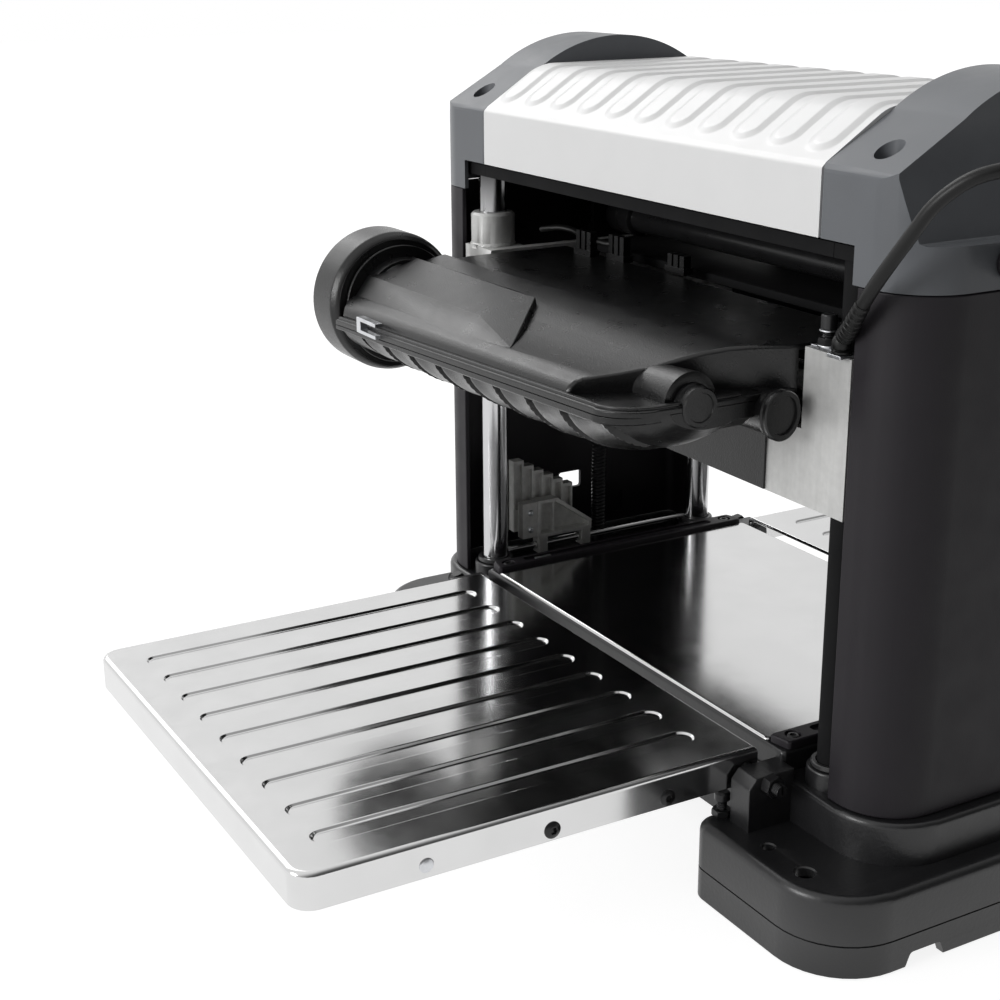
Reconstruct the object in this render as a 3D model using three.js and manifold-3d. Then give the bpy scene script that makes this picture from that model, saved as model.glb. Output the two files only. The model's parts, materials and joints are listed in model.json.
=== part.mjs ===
// Benchtop thickness planer with fold-up feed tables and a rear dust hood.
// Millimetres, Z up. The origin is on the bench under the middle of the bed:
// X runs across the machine, and the outfeed side with the dust hood faces -Y.
import * as THREE from 'three';
import { mergeVertices } from 'three/addons/utils/BufferGeometryUtils.js';
import Module from 'manifold-3d';

const wasm = await Module();
wasm.setup();

// Clearances
const gap = 0.3;
const runGap = 0.35;

// Feed tables, whose width sets the whole machine's
const tableLength = 297;
const tableWidth = 340;
const tableRim = 22;
const tableSheet = 2;
const tableCornerR = 14;
const tableHemR = 4;
const tableEdgeGap = 10;
const grooveCount = 9;
const grooveWidth = 15;
const grooveDepth = 0.9;
const grooveEndGap = 24;

// Guide columns and lead screws
const columnOffset = 32;
const columnX = tableWidth / 2 + columnOffset;
const columnR = 10;
const socketR = 16;
const socketTopZ = 87;
const screwOffset = 20;
const screwX = columnX + screwOffset;
const screwR = 6;

// Base casting
const coverOffset = 60;
const coverOuterX = columnX + coverOffset;
const collarLip = 8;
const collarHalfWidth = coverOuterX + collarLip;
const footLip = 15;
const baseHalfWidth = collarHalfWidth + footLip;
const collarHalfDepth = 117;
const footReach = 48;
const baseHalfDepth = collarHalfDepth + footReach;
const baseCornerR = 46;
const baseWall = 6;
const footInnerX = tableWidth / 2 - 2 * baseWall;
const footInnerR = 12;
const ledgeZ = 50;
const collarTopZ = 76;
const collarCornerR = 42;
const collarFrontR = 16;
const bellyZ = 24;
const columnInset = 21;
const columnY = collarHalfDepth - columnInset;
const sleeveR = 16;
const carriageHalfDepth = columnY + sleeveR;
const motorInset = 50;
const motorY = carriageHalfDepth - motorInset;
const beltLean = 24 / 31;
const beltClearance = 36;
const screwY = beltLean * motorY - beltClearance;
const centreRibWidth = 8;
const benchHoleR = 6;
const benchHoleInset = [44, 18];
const benchHoleX = baseHalfWidth - benchHoleInset[0];
const benchHoleY = baseHalfDepth - benchHoleInset[1];
const smallHoleR = 4;
const smallHoleX = columnX + smallHoleR + 2;

// Bed
const bedTopZ = 92;
const bedWidth = tableWidth - 14;
const bedHalfDepth = collarHalfDepth - 2;
const bedPlate = 2;
const guideWidth = 17;
const guideRise = 3;

// Table pivots
const tableEdgeY = collarHalfDepth + tableEdgeGap;
const pivotInset = 7;
const pivotDrop = 13;
const pivotBoltR = 4;
const boltHeadR = 7;
const boltHeadLength = 5.6;
const pivotBlockX = tableWidth / 2 + 2;
const pivotBlockWidth = 18;
const pivotBlockReach = 14;
const pivotBlockTop = 8;

// Heights of the carriage at its highest, and of the lift drive above it
const boardOpening = 150;
const cutClearance = 2;
const blockHeight = 91;
const carriageZ = bedTopZ + boardOpening + cutClearance;
const crossTubeR = 10;
const couplingR = 13;
const crankZ = carriageZ + blockHeight + couplingR + 1;

// Side covers, caps and top cover
const coverHalfDepth = collarHalfDepth - 4;
const coverWidth = 45;
const coverInnerX = coverOuterX - coverWidth;
const coverCornerR = 36;
const coverFrontR = 10;
const coverWall = 3;
const seamRise = 26;
const capSeamZ = crankZ + seamRise;
const notchX = coverInnerX - 4;
const notchRise = 21;
const notchZ = capSeamZ + notchRise;
const capWidth = 78;
const capInnerX = coverOuterX - capWidth;
const shoulderRise = 58;
const capShoulderZ = capSeamZ + shoulderRise;
const archR = 117.6;
const archDrop = 11;
const archCentreZ = capSeamZ - archDrop;
const archTangentY = 68;
const coverRise = 88;
const coverTopZ = capSeamZ + coverRise;
const topCoverWall = 2.5;
const capStepRise = 25;
const capStep = 11;
const capLean = 24;
const capScrewInset = [47, 18];
const capScrewX = coverOuterX - capScrewInset[0];
const capScrewY = coverHalfDepth - capScrewInset[1];
const capScrewR = 8;
const windowLow = [-3, 18, 113, 127];
const windowHigh = [39, 60, 84, 103];

// Upper frame
const headPlate = 8;
const headRise = 19;
const headTopZ = capSeamZ + headRise;
const headInset = 12;
const headInnerX = columnX - headInset;
const headOuterX = coverOuterX - headInset;
const headHalfDepth = coverHalfDepth - 5;
const tieBarWidth = 8;
const tieBarY = headHalfDepth - 4;

// Lift drive
const couplingLength = 28;
const crankShaftR = 5;
const bevelR = 14;
const bevelTipR = 8;
const bracketPlate = 4;
const bracketHalfDepth = 20;
const bracketFloor = 4.5;
const crankArm = 75;
const crankArmWidth = 18;
const crankArmThickness = 8;
const crankHubR = 13;
const knobR = 11;
const knobLength = 34;

// Carriage
const blockWidth = 38;
const blockInnerX = tableWidth / 2 + 7;
const blockOuterX = blockInnerX + blockWidth;
const blockDepth = 32;
const endPlate = 8;
const carriageWall = 6;
const flangeDrop = 25;
const flangeZ = blockHeight - flangeDrop;
const flangeThickness = 13;
const sleeveRise = 24;
const nutR = 10;
const nutBossR = 14;
const rearWallHeight = 44;
const topPlateRearY = -30;

// Cutterhead, rollers and drives
const cutR = 25;
const cutterBodyR = 23;
const cutterHalfLength = tableWidth / 2 - 6;
const cutterShaftR = 8;
const bearingR = 16;
const knifeCount = 3;
const knifeThickness = 3;
const knifeHeight = 9;
const knifeTurn = 0.4;
const rollerR = 20;
const rollerInset = 54;
const rollerY = carriageHalfDepth - rollerInset;
const rollerDrop = 1;
const rollerShaftR = 6;
const sprocketR = 14;
const sprocketWidth = 5;
const chainThickness = 4;
const pulleyWidth = 15;
const cutterPulleyR = 18;
const motorPulleyR = 14;
const beltThickness = 4;
const motorR = 36;
const motorLength = 210;
const motorRightX = tableWidth / 2 - 20;
const motorLeftX = motorRightX - motorLength;
const motorShaftR = 6;

// Dust hood, measured from the carriage's underside
const hoodLeftX = -tableWidth / 2 + 2;
const hoodRightX = tableWidth / 2 + 2;
const hoodWall = 3;
const hoodTopZ = 91;
const hoodFrontY = -50;
const barrelReach = 67;
const barrelY = -carriageHalfDepth - barrelReach;
const barrelZ = 57;
const barrelR = 47;
const seamZ = 62;
const seamLip = 5;
const hoodTaper = 61;
const hoodCutX = hoodRightX - hoodTaper;
const hoodCornerY = 15;
const hoodDrop = 12;
const hoodTopRun = 45;
const ductLength = tableWidth / 2 - 28;
const ductTipLength = 55;
const ductSection = [[-40, 7], [-26, 19.5], [9, 28.5], [29, 24], [29, 7]];
const webZ = 40;
const shelfCornerR = 26;
// Sections of the trough: X from the hood's right end, set-back of its rear edge, half width, depth
const troughSections = [
  [-tableWidth, 0, 47, 34], [-80, 0, 47, 31.5], [-42, 1, 46, 28], [-17, 7, 41, 21], [-4, 21, 31, 13],
  [0, 34, 22, 8],
];
const portR = 50;
const portBoreR = 46;
const portLength = 46;
const portGapX = 18;
const portStep = 9;
const endCapR = 11.5;
const endCapX = hoodRightX + 1.5;
const endCapRise = 2.5;
const endCapLength = 55;
const stubR = 11;
const stubFlangeR = 12.5;
const stubInset = 48;
const stubY = barrelY + stubInset;
const stubZ = 50;

// Depth stop
const stopRodX = columnX + 3;
const stopRodZ = 91;
const stopRodR = 3;
const stopSliderY = -34;
const stopSliderLength = 50;
const stopCount = 6;
const stopStepY = 9;
const stopStepZ = 5;
const stopTopZ = 161;
const stopBlockWidth = 8;

// Controls, scale and motor lead
const controlInset = 28;
const switchX = coverOuterX - controlInset;
const switchDrop = 45;
const switchZ = capSeamZ - switchDrop;
const switchWidth = 34;
const switchHeight = 70;
const switchDepth = 13;
const buttonR = 6;
const buttonRise = 6;
const buttonZ = switchZ - 57;
const scaleX = switchX + 2;
const scaleLength = 168;
const leadR = 3.75;
const glandR = 9;
const strapThickness = 2;
const elbowR = 5.5;
const elbowX = columnX + elbowR;
const elbowY = -carriageHalfDepth - 1;

// Worked out from the sizes above
const pivotY = tableEdgeY + pivotInset;
const pivotZ = bedTopZ - pivotDrop;
const cutterZ = cutR - cutClearance;
const rollerZ = rollerR - cutClearance - rollerDrop;
const motorZ = blockHeight + 2 + motorR;

// Materials
const paint = (color, roughness, metalness = 0) =>
  new THREE.MeshStandardMaterial({ color, roughness, metalness });
const blackCast = paint(0x2b2c2e, 0.6);
const blackPlastic = paint(0x18181a, 0.5);
const greyPlastic = paint(0x4b4d50, 0.45);
const whitePaint = paint(0xe9eaea, 0.35);
const castAluminium = paint(0xb9bbbd, 0.45, 0.8);
const polishedSteel = paint(0xc8cacc, 0.18, 1);
const plainSteel = paint(0x9a9c9f, 0.35, 1);
const blackSteel = paint(0x1b1b1c, 0.4, 0.6);
const zinc = paint(0xb4b7bb, 0.35, 1);
const bronze = paint(0xa8824a, 0.4, 1);
const rubber = paint(0x202122, 0.8);
const dieCast = paint(0x8d8f90, 0.5, 0.7);
const redPlastic = paint(0xb3261e, 0.45);

// Solids: three.js geometry in, joined and cut as closed bodies
function solid(geometry) {
  const bare = geometry.clone();
  bare.deleteAttribute('normal');
  bare.deleteAttribute('uv');
  const merged = mergeVertices(bare, 1e-4);
  const index = merged.index.array;
  const kept = [];
  for (let i = 0; i < index.length; i += 3) {
    const [a, b, c] = [index[i], index[i + 1], index[i + 2]];
    if (a !== b && b !== c && c !== a) kept.push(a, b, c);
  }
  return new wasm.Manifold(new wasm.Mesh({
    numProp: 3,
    vertProperties: new Float32Array(merged.attributes.position.array),
    triVerts: new Uint32Array(kept),
  }));
}

const join = (first, ...others) => others.reduce((sum, next) => sum.add(next), first);
const cut = (first, ...others) => others.reduce((rest, next) => rest.subtract(next), first);

function box(x0, x1, y0, y1, z0, z1) {
  const geometry = new THREE.BoxGeometry(Math.abs(x1 - x0), Math.abs(y1 - y0), Math.abs(z1 - z0));
  geometry.translate((x0 + x1) / 2, (y0 + y1) / 2, (z0 + z1) / 2);
  return solid(geometry);
}

// A right cylinder along an axis through (a, b), the other two coordinates in X, Y, Z order
function rod(axis, r, from, to, a, b, sides = 20, endR = r) {
  const low = Math.min(from, to);
  const high = Math.max(from, to);
  const [lowR, highR] = from <= to ? [r, endR] : [endR, r];
  const geometry = new THREE.CylinderGeometry(highR, lowR, high - low, sides);
  if (axis === 'x') geometry.rotateZ(-Math.PI / 2).translate((low + high) / 2, a, b);
  if (axis === 'y') geometry.translate(a, (low + high) / 2, b);
  if (axis === 'z') geometry.rotateX(Math.PI / 2).translate(a, b, (low + high) / 2);
  return solid(geometry);
}

function tube(axis, r, bore, from, to, a, b, sides = 20) {
  return cut(rod(axis, r, from, to, a, b, sides), rod(axis, bore, from - 1, to + 1, a, b, sides));
}

// An outline extruded along an axis: (y, z) along x, (x, z) along y, (x, y) along z
function prism(axis, shape, from, to, curveSegments = 3) {
  const geometry = new THREE.ExtrudeGeometry(shape, {
    depth: to - from,
    bevelEnabled: false,
    curveSegments,
    steps: 1,
  });
  if (axis === 'x') {
    const turn = new THREE.Matrix4().makeBasis(
      new THREE.Vector3(0, 1, 0),
      new THREE.Vector3(0, 0, 1),
      new THREE.Vector3(1, 0, 0),
    );
    geometry.applyMatrix4(turn).translate(from, 0, 0);
  }
  if (axis === 'y') geometry.rotateX(Math.PI / 2).translate(0, to, 0);
  if (axis === 'z') geometry.translate(0, 0, from);
  return solid(geometry);
}

const outline = (points) => new THREE.Shape(points.map(([u, v]) => new THREE.Vector2(u, v)));

// A rectangle with a radius for each corner, anticlockwise from the low one
function cornerRect(u0, u1, v0, v1, radii) {
  const shape = new THREE.Shape();
  const marks = [[u0, v0, 1, 1], [u1, v0, -1, 1], [u1, v1, -1, -1], [u0, v1, 1, -1]];
  marks.forEach(([u, v, du, dv], i) => {
    const r = radii[i];
    const start = Math.PI * (1 + i / 2);
    if (r > 0) shape.absarc(u + du * r, v + dv * r, r, start, start + Math.PI / 2, false);
    else if (i === 0) shape.moveTo(u, v);
    else shape.lineTo(u, v);
  });
  return shape;
}

const roundedRect = (u0, u1, v0, v1, r) => cornerRect(u0, u1, v0, v1, [r, r, r, r]);

// The same on the left or right side of the machine, given by its inner and outer X
function sideRect(side, innerX, outerX, y0, y1, innerR, rearR, frontR = rearR) {
  return side > 0
    ? cornerRect(innerX, outerX, y0, y1, [innerR, rearR, frontR, innerR])
    : cornerRect(-outerX, -innerX, y0, y1, [rearR, innerR, innerR, frontR]);
}

// A closed skin through rings of points, with the same number of points in each
function loft(rings) {
  const count = rings[0].length;
  const positions = rings.flat(2);
  const index = [];
  for (let r = 0; r < rings.length - 1; r += 1) {
    for (let i = 0; i < count; i += 1) {
      const a = r * count + i;
      const b = r * count + ((i + 1) % count);
      index.push(a, b, b + count, a, b + count, a + count);
    }
  }
  const flat = rings[0].map(([, y, z]) => new THREE.Vector2(y, z));
  const cap = THREE.ShapeUtils.triangulateShape(flat, []);
  const last = (rings.length - 1) * count;
  for (const [a, b, c] of cap) {
    index.push(a, c, b);
    index.push(last + a, last + b, last + c);
  }
  const geometry = new THREE.BufferGeometry();
  geometry.setAttribute('position', new THREE.Float32BufferAttribute(positions, 3));
  geometry.setIndex(index);
  return solid(geometry);
}

const planer = new THREE.Group();
const carriage = new THREE.Group();
carriage.position.z = carriageZ;
planer.add(carriage);

function addPart(group, name, body, material) {
  const mesh = body.getMesh();
  const geometry = new THREE.BufferGeometry();
  geometry.setAttribute('position', new THREE.BufferAttribute(new Float32Array(mesh.vertProperties), 3));
  geometry.setIndex(new THREE.BufferAttribute(new Uint32Array(mesh.triVerts), 1));
  geometry.computeVertexNormals();
  const part = new THREE.Mesh(geometry, material);
  part.name = name;
  group.add(part);
  return part;
}

const sides = [['left', -1], ['right', 1]];
const ends = [['rear', -1], ['front', 1]];
const corners = sides.flatMap(([, sx]) => ends.map(([, sy]) => [sx, sy]));

// Base casting: two hollow feet, a collar round the columns, and the bed support
function makeBase() {
  const bedHalf = bedWidth / 2 + guideWidth;
  const bedUnder = bedTopZ - bedPlate - gap;
  const w = baseWall;
  let body = box(-footInnerX - w, footInnerX + w, -collarHalfDepth, collarHalfDepth, bellyZ, collarTopZ);
  const collar = cornerRect(
    -collarHalfWidth, collarHalfWidth, -collarHalfDepth, collarHalfDepth,
    [collarCornerR, collarCornerR, collarFrontR, collarFrontR],
  );
  body = join(
    body,
    prism('z', collar, ledgeZ - w, collarTopZ),
    box(-bedHalf, bedHalf, -collarHalfDepth + 1, collarHalfDepth - 1, collarTopZ - w, bedUnder),
  );
  for (const [, side] of sides) {
    const foot = sideRect(
      side, footInnerX, baseHalfWidth, -baseHalfDepth, baseHalfDepth, footInnerR, baseCornerR,
    );
    body = join(body, prism('z', foot, 0, ledgeZ));
  }
  for (const [, side] of sides) {
    const footHollow = sideRect(
      side, footInnerX + w, baseHalfWidth - w,
      -baseHalfDepth + w, baseHalfDepth - w, footInnerR - w, baseCornerR - w,
    );
    const collarHollow = sideRect(
      side, footInnerX + w, collarHalfWidth - w,
      -collarHalfDepth + w, collarHalfDepth - w, 1, collarCornerR - w, collarFrontR - w,
    );
    body = cut(
      body,
      prism('z', footHollow, -1, ledgeZ - w),
      prism('z', collarHollow, ledgeZ - w - 1, collarTopZ - w),
    );
  }
  const hollowHalf = footInnerX - w;
  body = cut(
    body,
    box(-hollowHalf, hollowHalf, -collarHalfDepth + w, collarHalfDepth - w, bellyZ - 1, bedUnder - w),
  );
  body = join(body, box(-footInnerX, footInnerX, -centreRibWidth / 2, centreRibWidth / 2, 0, bedUnder - 1));
  for (const [sx, sy] of corners) {
    const block = sideRect(
      sx, pivotBlockX, pivotBlockX + pivotBlockWidth,
      Math.min(sy * (collarHalfDepth - 2), sy * (pivotY + pivotBlockReach)),
      Math.max(sy * (collarHalfDepth - 2), sy * (pivotY + pivotBlockReach)), 1, 1,
    );
    body = join(
      body,
      prism('z', block, ledgeZ - 1, bedTopZ - pivotBlockTop, 2),
      rod('z', socketR, collarTopZ - 1, socketTopZ, sx * columnX, sy * columnY),
    );
    const boreX = [sx * (pivotBlockX - 1), sx * (pivotBlockX + pivotBlockWidth + 1)];
    body = cut(
      body,
      rod('z', columnR + gap, collarTopZ, socketTopZ + 1, sx * columnX, sy * columnY),
      rod('x', pivotBoltR + gap, Math.min(...boreX), Math.max(...boreX), sy * pivotY, pivotZ, 16),
      rod('z', benchHoleR, ledgeZ - w - 1, ledgeZ + 1, sx * benchHoleX, sy * benchHoleY, 14),
      rod('z', smallHoleR, ledgeZ - w - 1, ledgeZ + 1, sx * smallHoleX, sy * benchHoleY, 12),
    );
  }
  return body;
}

function makeBedPlate() {
  const half = bedWidth / 2;
  return box(-half, half, -bedHalfDepth, bedHalfDepth, bedTopZ - bedPlate, bedTopZ);
}

function makeBedGuide(side) {
  const inner = bedWidth / 2 + gap;
  const outer = inner + guideWidth - 1;
  const low = bedTopZ - bedPlate;
  const strip = sideRect(side, inner, outer, -bedHalfDepth + 1, bedHalfDepth - 1, 6, 3);
  const bar = prism('z', strip, low, bedTopZ + guideRise, 3);
  const recess = box(side * (inner + 5), side * (outer - 5), -bedHalfDepth + 26, bedHalfDepth - 26,
    bedTopZ + 1, bedTopZ + guideRise + 1);
  return cut(bar, recess);
}

// A feed table's plan; its hollow runs out through the edge at the bed, where the bolts are
function tablePlan(end, inset) {
  const half = tableWidth / 2 - inset;
  const near = inset > 0 ? tableEdgeY - 1 : tableEdgeY;
  const far = tableEdgeY + tableLength - inset;
  const nearR = inset > 0 ? 0 : tableHemR;
  const farR = tableCornerR - inset;
  return end > 0
    ? cornerRect(-half, half, near, far, [nearR, nearR, farR, farR])
    : cornerRect(-half, half, -far, -near, [farR, farR, nearR, nearR]);
}

// Feed table: a pressed steel tray with long grooves
function makeTable(end) {
  const half = tableWidth / 2;
  const t = tableSheet;
  const low = end > 0 ? tableEdgeY : -tableEdgeY - tableLength;
  const high = low + tableLength;
  const bottom = bedTopZ - tableRim;
  let tray = cut(
    prism('z', tablePlan(end, 0), bottom, bedTopZ, 4),
    prism('z', tablePlan(end, t), bottom - 1, bedTopZ - t, 4),
  );
  const pitch = tableWidth / (grooveCount + 1);
  for (let i = 0; i < grooveCount; i += 1) {
    const x = (i - (grooveCount - 1) / 2) * pitch;
    const r = grooveWidth / 2;
    const groove = new THREE.Shape();
    groove.absarc(x, high - grooveEndGap - r, r, 0, Math.PI, false);
    groove.absarc(x, low + grooveEndGap + r, r, Math.PI, 2 * Math.PI, false);
    tray = cut(tray, prism('z', groove, bedTopZ - grooveDepth, bedTopZ + 1, 4));
  }
  return cut(tray, rod('x', pivotBoltR + runGap, -half - 1, half + 1, end * pivotY, pivotZ, 16));
}

function makePivotBolt(sx, sy) {
  const head = tableWidth / 2 - tableSheet - gap;
  const nut = pivotBlockX + pivotBlockWidth + gap;
  const [y, z] = [sy * pivotY, pivotZ];
  return join(
    rod('x', pivotBoltR, sx * (head - boltHeadLength), sx * (nut + 2 * boltHeadR - 1), y, z, 16),
    rod('x', boltHeadR, sx * (head - boltHeadLength), sx * head, y, z, 6),
    rod('x', boltHeadR, sx * nut, sx * (nut + boltHeadR), y, z, 6),
  );
}

// Column cover: a deep channel round two guide columns, open to the machine's middle
function makeColumnCover(side) {
  const low = collarTopZ + gap;
  const high = capSeamZ - gap;
  const w = coverWall;
  const outer = sideRect(
    side, coverInnerX, coverOuterX, -coverHalfDepth, coverHalfDepth, 1, coverCornerR, coverFrontR,
  );
  const inner = sideRect(
    side, coverInnerX - 5, coverOuterX - w,
    -coverHalfDepth + w, coverHalfDepth - w, 1, coverCornerR - w, coverFrontR - w,
  );
  let shell = cut(prism('z', outer, low, high), prism('z', inner, low - 1, high + 1));
  if (side < 0) {
    for (const [y0, y1, z0, z1] of [windowLow, windowHigh]) {
      shell = cut(shell, box(-coverOuterX - 2, -coverOuterX + w + 2, y0, y1, z0, z1));
    }
    shell = cut(
      shell,
      rod('x', crankShaftR + 4, -coverOuterX - 2, -coverOuterX + w + 2, screwY, crankZ),
      rod('y', buttonR + gap, coverHalfDepth - w - 1, coverHalfDepth + 1, -switchX, buttonZ, 16),
    );
  }
  return shell;
}

// Side outline of the caps: upright faces, slopes, and an arch between the slopes
function archProfile(inset, low) {
  const half = coverHalfDepth - inset;
  const shoulder = capShoulderZ - inset;
  const r = archR - inset;
  const startAngle = Math.acos(archTangentY / archR);
  const shape = new THREE.Shape();
  shape.moveTo(-half, low);
  shape.lineTo(half, low);
  shape.lineTo(half, shoulder);
  shape.lineTo(half - 3, shoulder + 3);
  shape.absarc(0, archCentreZ, r, startAngle, Math.PI - startAngle, false);
  shape.lineTo(-half + 3, shoulder + 3);
  shape.lineTo(-half, shoulder);
  return shape;
}

// What the caps' outer sides leave free above their step, in X and Z, drawn in by the wall
function capRecess(side, inset) {
  const low = capSeamZ + capStepRise - inset;
  const top = archCentreZ + archR + 2;
  const x = (depth) => side * (coverOuterX - depth - inset);
  return prism('y', outline([
    [side * (coverOuterX + 2), low], [x(capStep), low], [x(capLean - 2), capShoulderZ],
    [x(capLean), top], [side * (coverOuterX + 2), top],
  ]), -coverHalfDepth - 1, coverHalfDepth + 1);
}

function makeSideCap(side) {
  const low = capSeamZ + gap;
  const w = coverWall;
  const xs = [side * (capInnerX - 1), side * (coverOuterX + 1)];
  const plan = sideRect(
    side, capInnerX, coverOuterX, -coverHalfDepth, coverHalfDepth, 1, coverCornerR, coverFrontR,
  );
  const planInner = sideRect(
    side, capInnerX + w, coverOuterX - w,
    -coverHalfDepth + w, coverHalfDepth - w, 1, coverCornerR - w, coverFrontR - w,
  );
  const high = archCentreZ + archR + 1;
  const [x0, x1] = [Math.min(...xs), Math.max(...xs)];
  const outer = prism('z', plan, low, high).intersect(prism('x', archProfile(0, low), x0, x1, 7));
  const inner = prism('z', planInner, low - 1, high)
    .intersect(prism('x', archProfile(w, low - 1), x0, x1, 7));
  const notch = box(
    side * (capInnerX - 2), side * notchX, -coverHalfDepth - 1, coverHalfDepth + 1, low - 1, notchZ,
  );
  let cap = cut(cut(outer, capRecess(side, 0)), cut(inner, capRecess(side, w)), notch);
  for (const [, end] of ends) {
    const x = side * capScrewX;
    const y = end * capScrewY;
    const well = rod('z', capScrewR + 2.5, capShoulderZ - 8, capShoulderZ + 22, x, y, 16);
    const trimmed = well.intersect(prism('x', archProfile(0, low), x0, x1, 7));
    cap = join(cap, trimmed);
    cap = cut(cap, rod('z', capScrewR, capShoulderZ - 4, capShoulderZ + 30, x, y, 16));
  }
  return cap;
}

// Top cover: a folded sheet between the two caps
function makeTopCover() {
  const half = capInnerX - gap;
  const profile = (inset) => {
    const edge = coverHalfDepth - inset;
    const shoulder = capShoulderZ - inset * 0.4;
    const low = inset > 0 ? notchZ - 1 : notchZ;
    const top = coverTopZ - inset;
    return outline([
      [-edge, low], [edge, low], [edge, shoulder], [edge - 3, shoulder + 3],
      [archTangentY, top], [-archTangentY, top], [-edge + 3, shoulder + 3], [-edge, shoulder],
    ]);
  };
  return cut(prism('x', profile(0), -half, half), prism('x', profile(topCoverWall), -half - 1, half + 1));
}

// Upper frame: a plate over each pair of columns, joined by two bars behind the top cover
function makeUpperFrame() {
  const low = headTopZ - headPlate;
  let frame = null;
  for (const [, end] of ends) {
    const bar = box(
      -headInnerX - 1, headInnerX + 1,
      end * (tieBarY - tieBarWidth / 2), end * (tieBarY + tieBarWidth / 2), low, headTopZ,
    );
    frame = frame ? frame.add(bar) : bar;
  }
  for (const [, side] of sides) {
    const plan = sideRect(side, headInnerX, headOuterX, -headHalfDepth, headHalfDepth, 2, 22);
    frame = frame.add(prism('z', plan, low, headTopZ, 4));
  }
  const reach = motorPulleyR + beltThickness + 4;
  const beltNotch = box(
    headInnerX - 1, blockInnerX + endPlate + pulleyWidth + 6,
    motorY - reach, motorY + reach, low - 1, headTopZ + 1,
  );
  return cut(frame, beltNotch, ...corners.map(([sx, sy]) =>
    rod('z', columnR + gap, low - 1, headTopZ + 1, sx * columnX, sy * columnY)));
}

function makeGuideColumn(sx, sy) {
  return rod('z', columnR, collarTopZ + gap, headTopZ, sx * columnX, sy * columnY, 24);
}

// Lift drive: bevel gears and a bracket at each lead screw, and one shaft across the machine
function makeLeadScrew(side) {
  const seat = crankZ - bevelR - gap;
  const neckR = screwR - 1;
  return join(
    rod('z', screwR, collarTopZ + gap, seat - bracketFloor - 2, side * screwX, screwY, 16),
    rod('z', neckR, seat - bracketFloor - 3, seat + 1, side * screwX, screwY, 16),
    rod('z', bevelR - gap, seat + gap, crankZ - bevelTipR, side * screwX, screwY, 20, bevelTipR - gap),
  );
}

function makeGearBracket(side) {
  const high = headTopZ - headPlate - gap;
  const low = crankZ - bevelR - gap - bracketFloor;
  const innerX = screwX - bevelR - 2 - bracketPlate;
  const outerX = screwX + bevelR + 2 + bracketPlate;
  const y0 = screwY - bracketHalfDepth;
  const y1 = screwY + bracketHalfDepth;
  const frame = cut(
    box(side * innerX, side * outerX, y0, y1, low, high),
    box(
      side * (innerX + bracketPlate), side * (outerX - bracketPlate),
      y0 - 1, y1 + 1, low + bracketFloor, high + 1,
    ),
  );
  const lip = side * (outerX - bracketPlate - 10);
  const xs = [side * (innerX - 1), side * (outerX + 1)];
  return cut(
    join(frame, box(lip, side * outerX, y0, y1, high - bracketPlate, high)),
    rod('z', screwR - 1 + gap, low - 1, low + bracketFloor + 1, side * screwX, screwY, 16),
    rod('x', crankShaftR + gap, Math.min(...xs), Math.max(...xs), screwY, crankZ, 16),
  );
}

function makeCrossShaft() {
  const tubeEnd = screwX - bevelR - 2 - bracketPlate - gap;
  const outEnd = coverOuterX + 4;
  let shaft = join(
    rod('x', crossTubeR, -tubeEnd, tubeEnd, screwY, crankZ, 20),
    rod('x', crankShaftR, -outEnd, screwX + bevelR + 2 + bracketPlate, screwY, crankZ, 16),
    rod('x', couplingR, -tubeEnd + 6, -tubeEnd + 6 + couplingLength, screwY, crankZ, 20),
  );
  for (const [, side] of sides) {
    const large = side * (screwX - bevelR);
    const small = side * (screwX - bevelTipR);
    shaft = join(shaft, rod('x', bevelR - gap, large, small, screwY, crankZ, 20, bevelTipR - gap));
  }
  return shaft;
}

function makeCrankArm() {
  const from = -coverOuterX - 4 - gap;
  const to = from - crankArmThickness;
  const arm = join(
    rod('x', crankHubR, from, to, screwY, crankZ),
    rod('x', crankArmWidth / 2, from, to, screwY, crankZ - crankArm),
    box(to, from, screwY - crankArmWidth / 2, screwY + crankArmWidth / 2, crankZ - crankArm, crankZ),
    rod('x', 4, to, to - knobLength, screwY, crankZ - crankArm, 12),
  );
  return join(arm, rod('x', 8, to, to - 3, screwY, crankZ, 6));
}

function makeCrankKnob() {
  const from = -coverOuterX - 4 - gap - crankArmThickness - gap;
  return tube('x', knobR, 4 + runGap, from - knobLength + 1, from, screwY, crankZ - crankArm);
}

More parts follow.
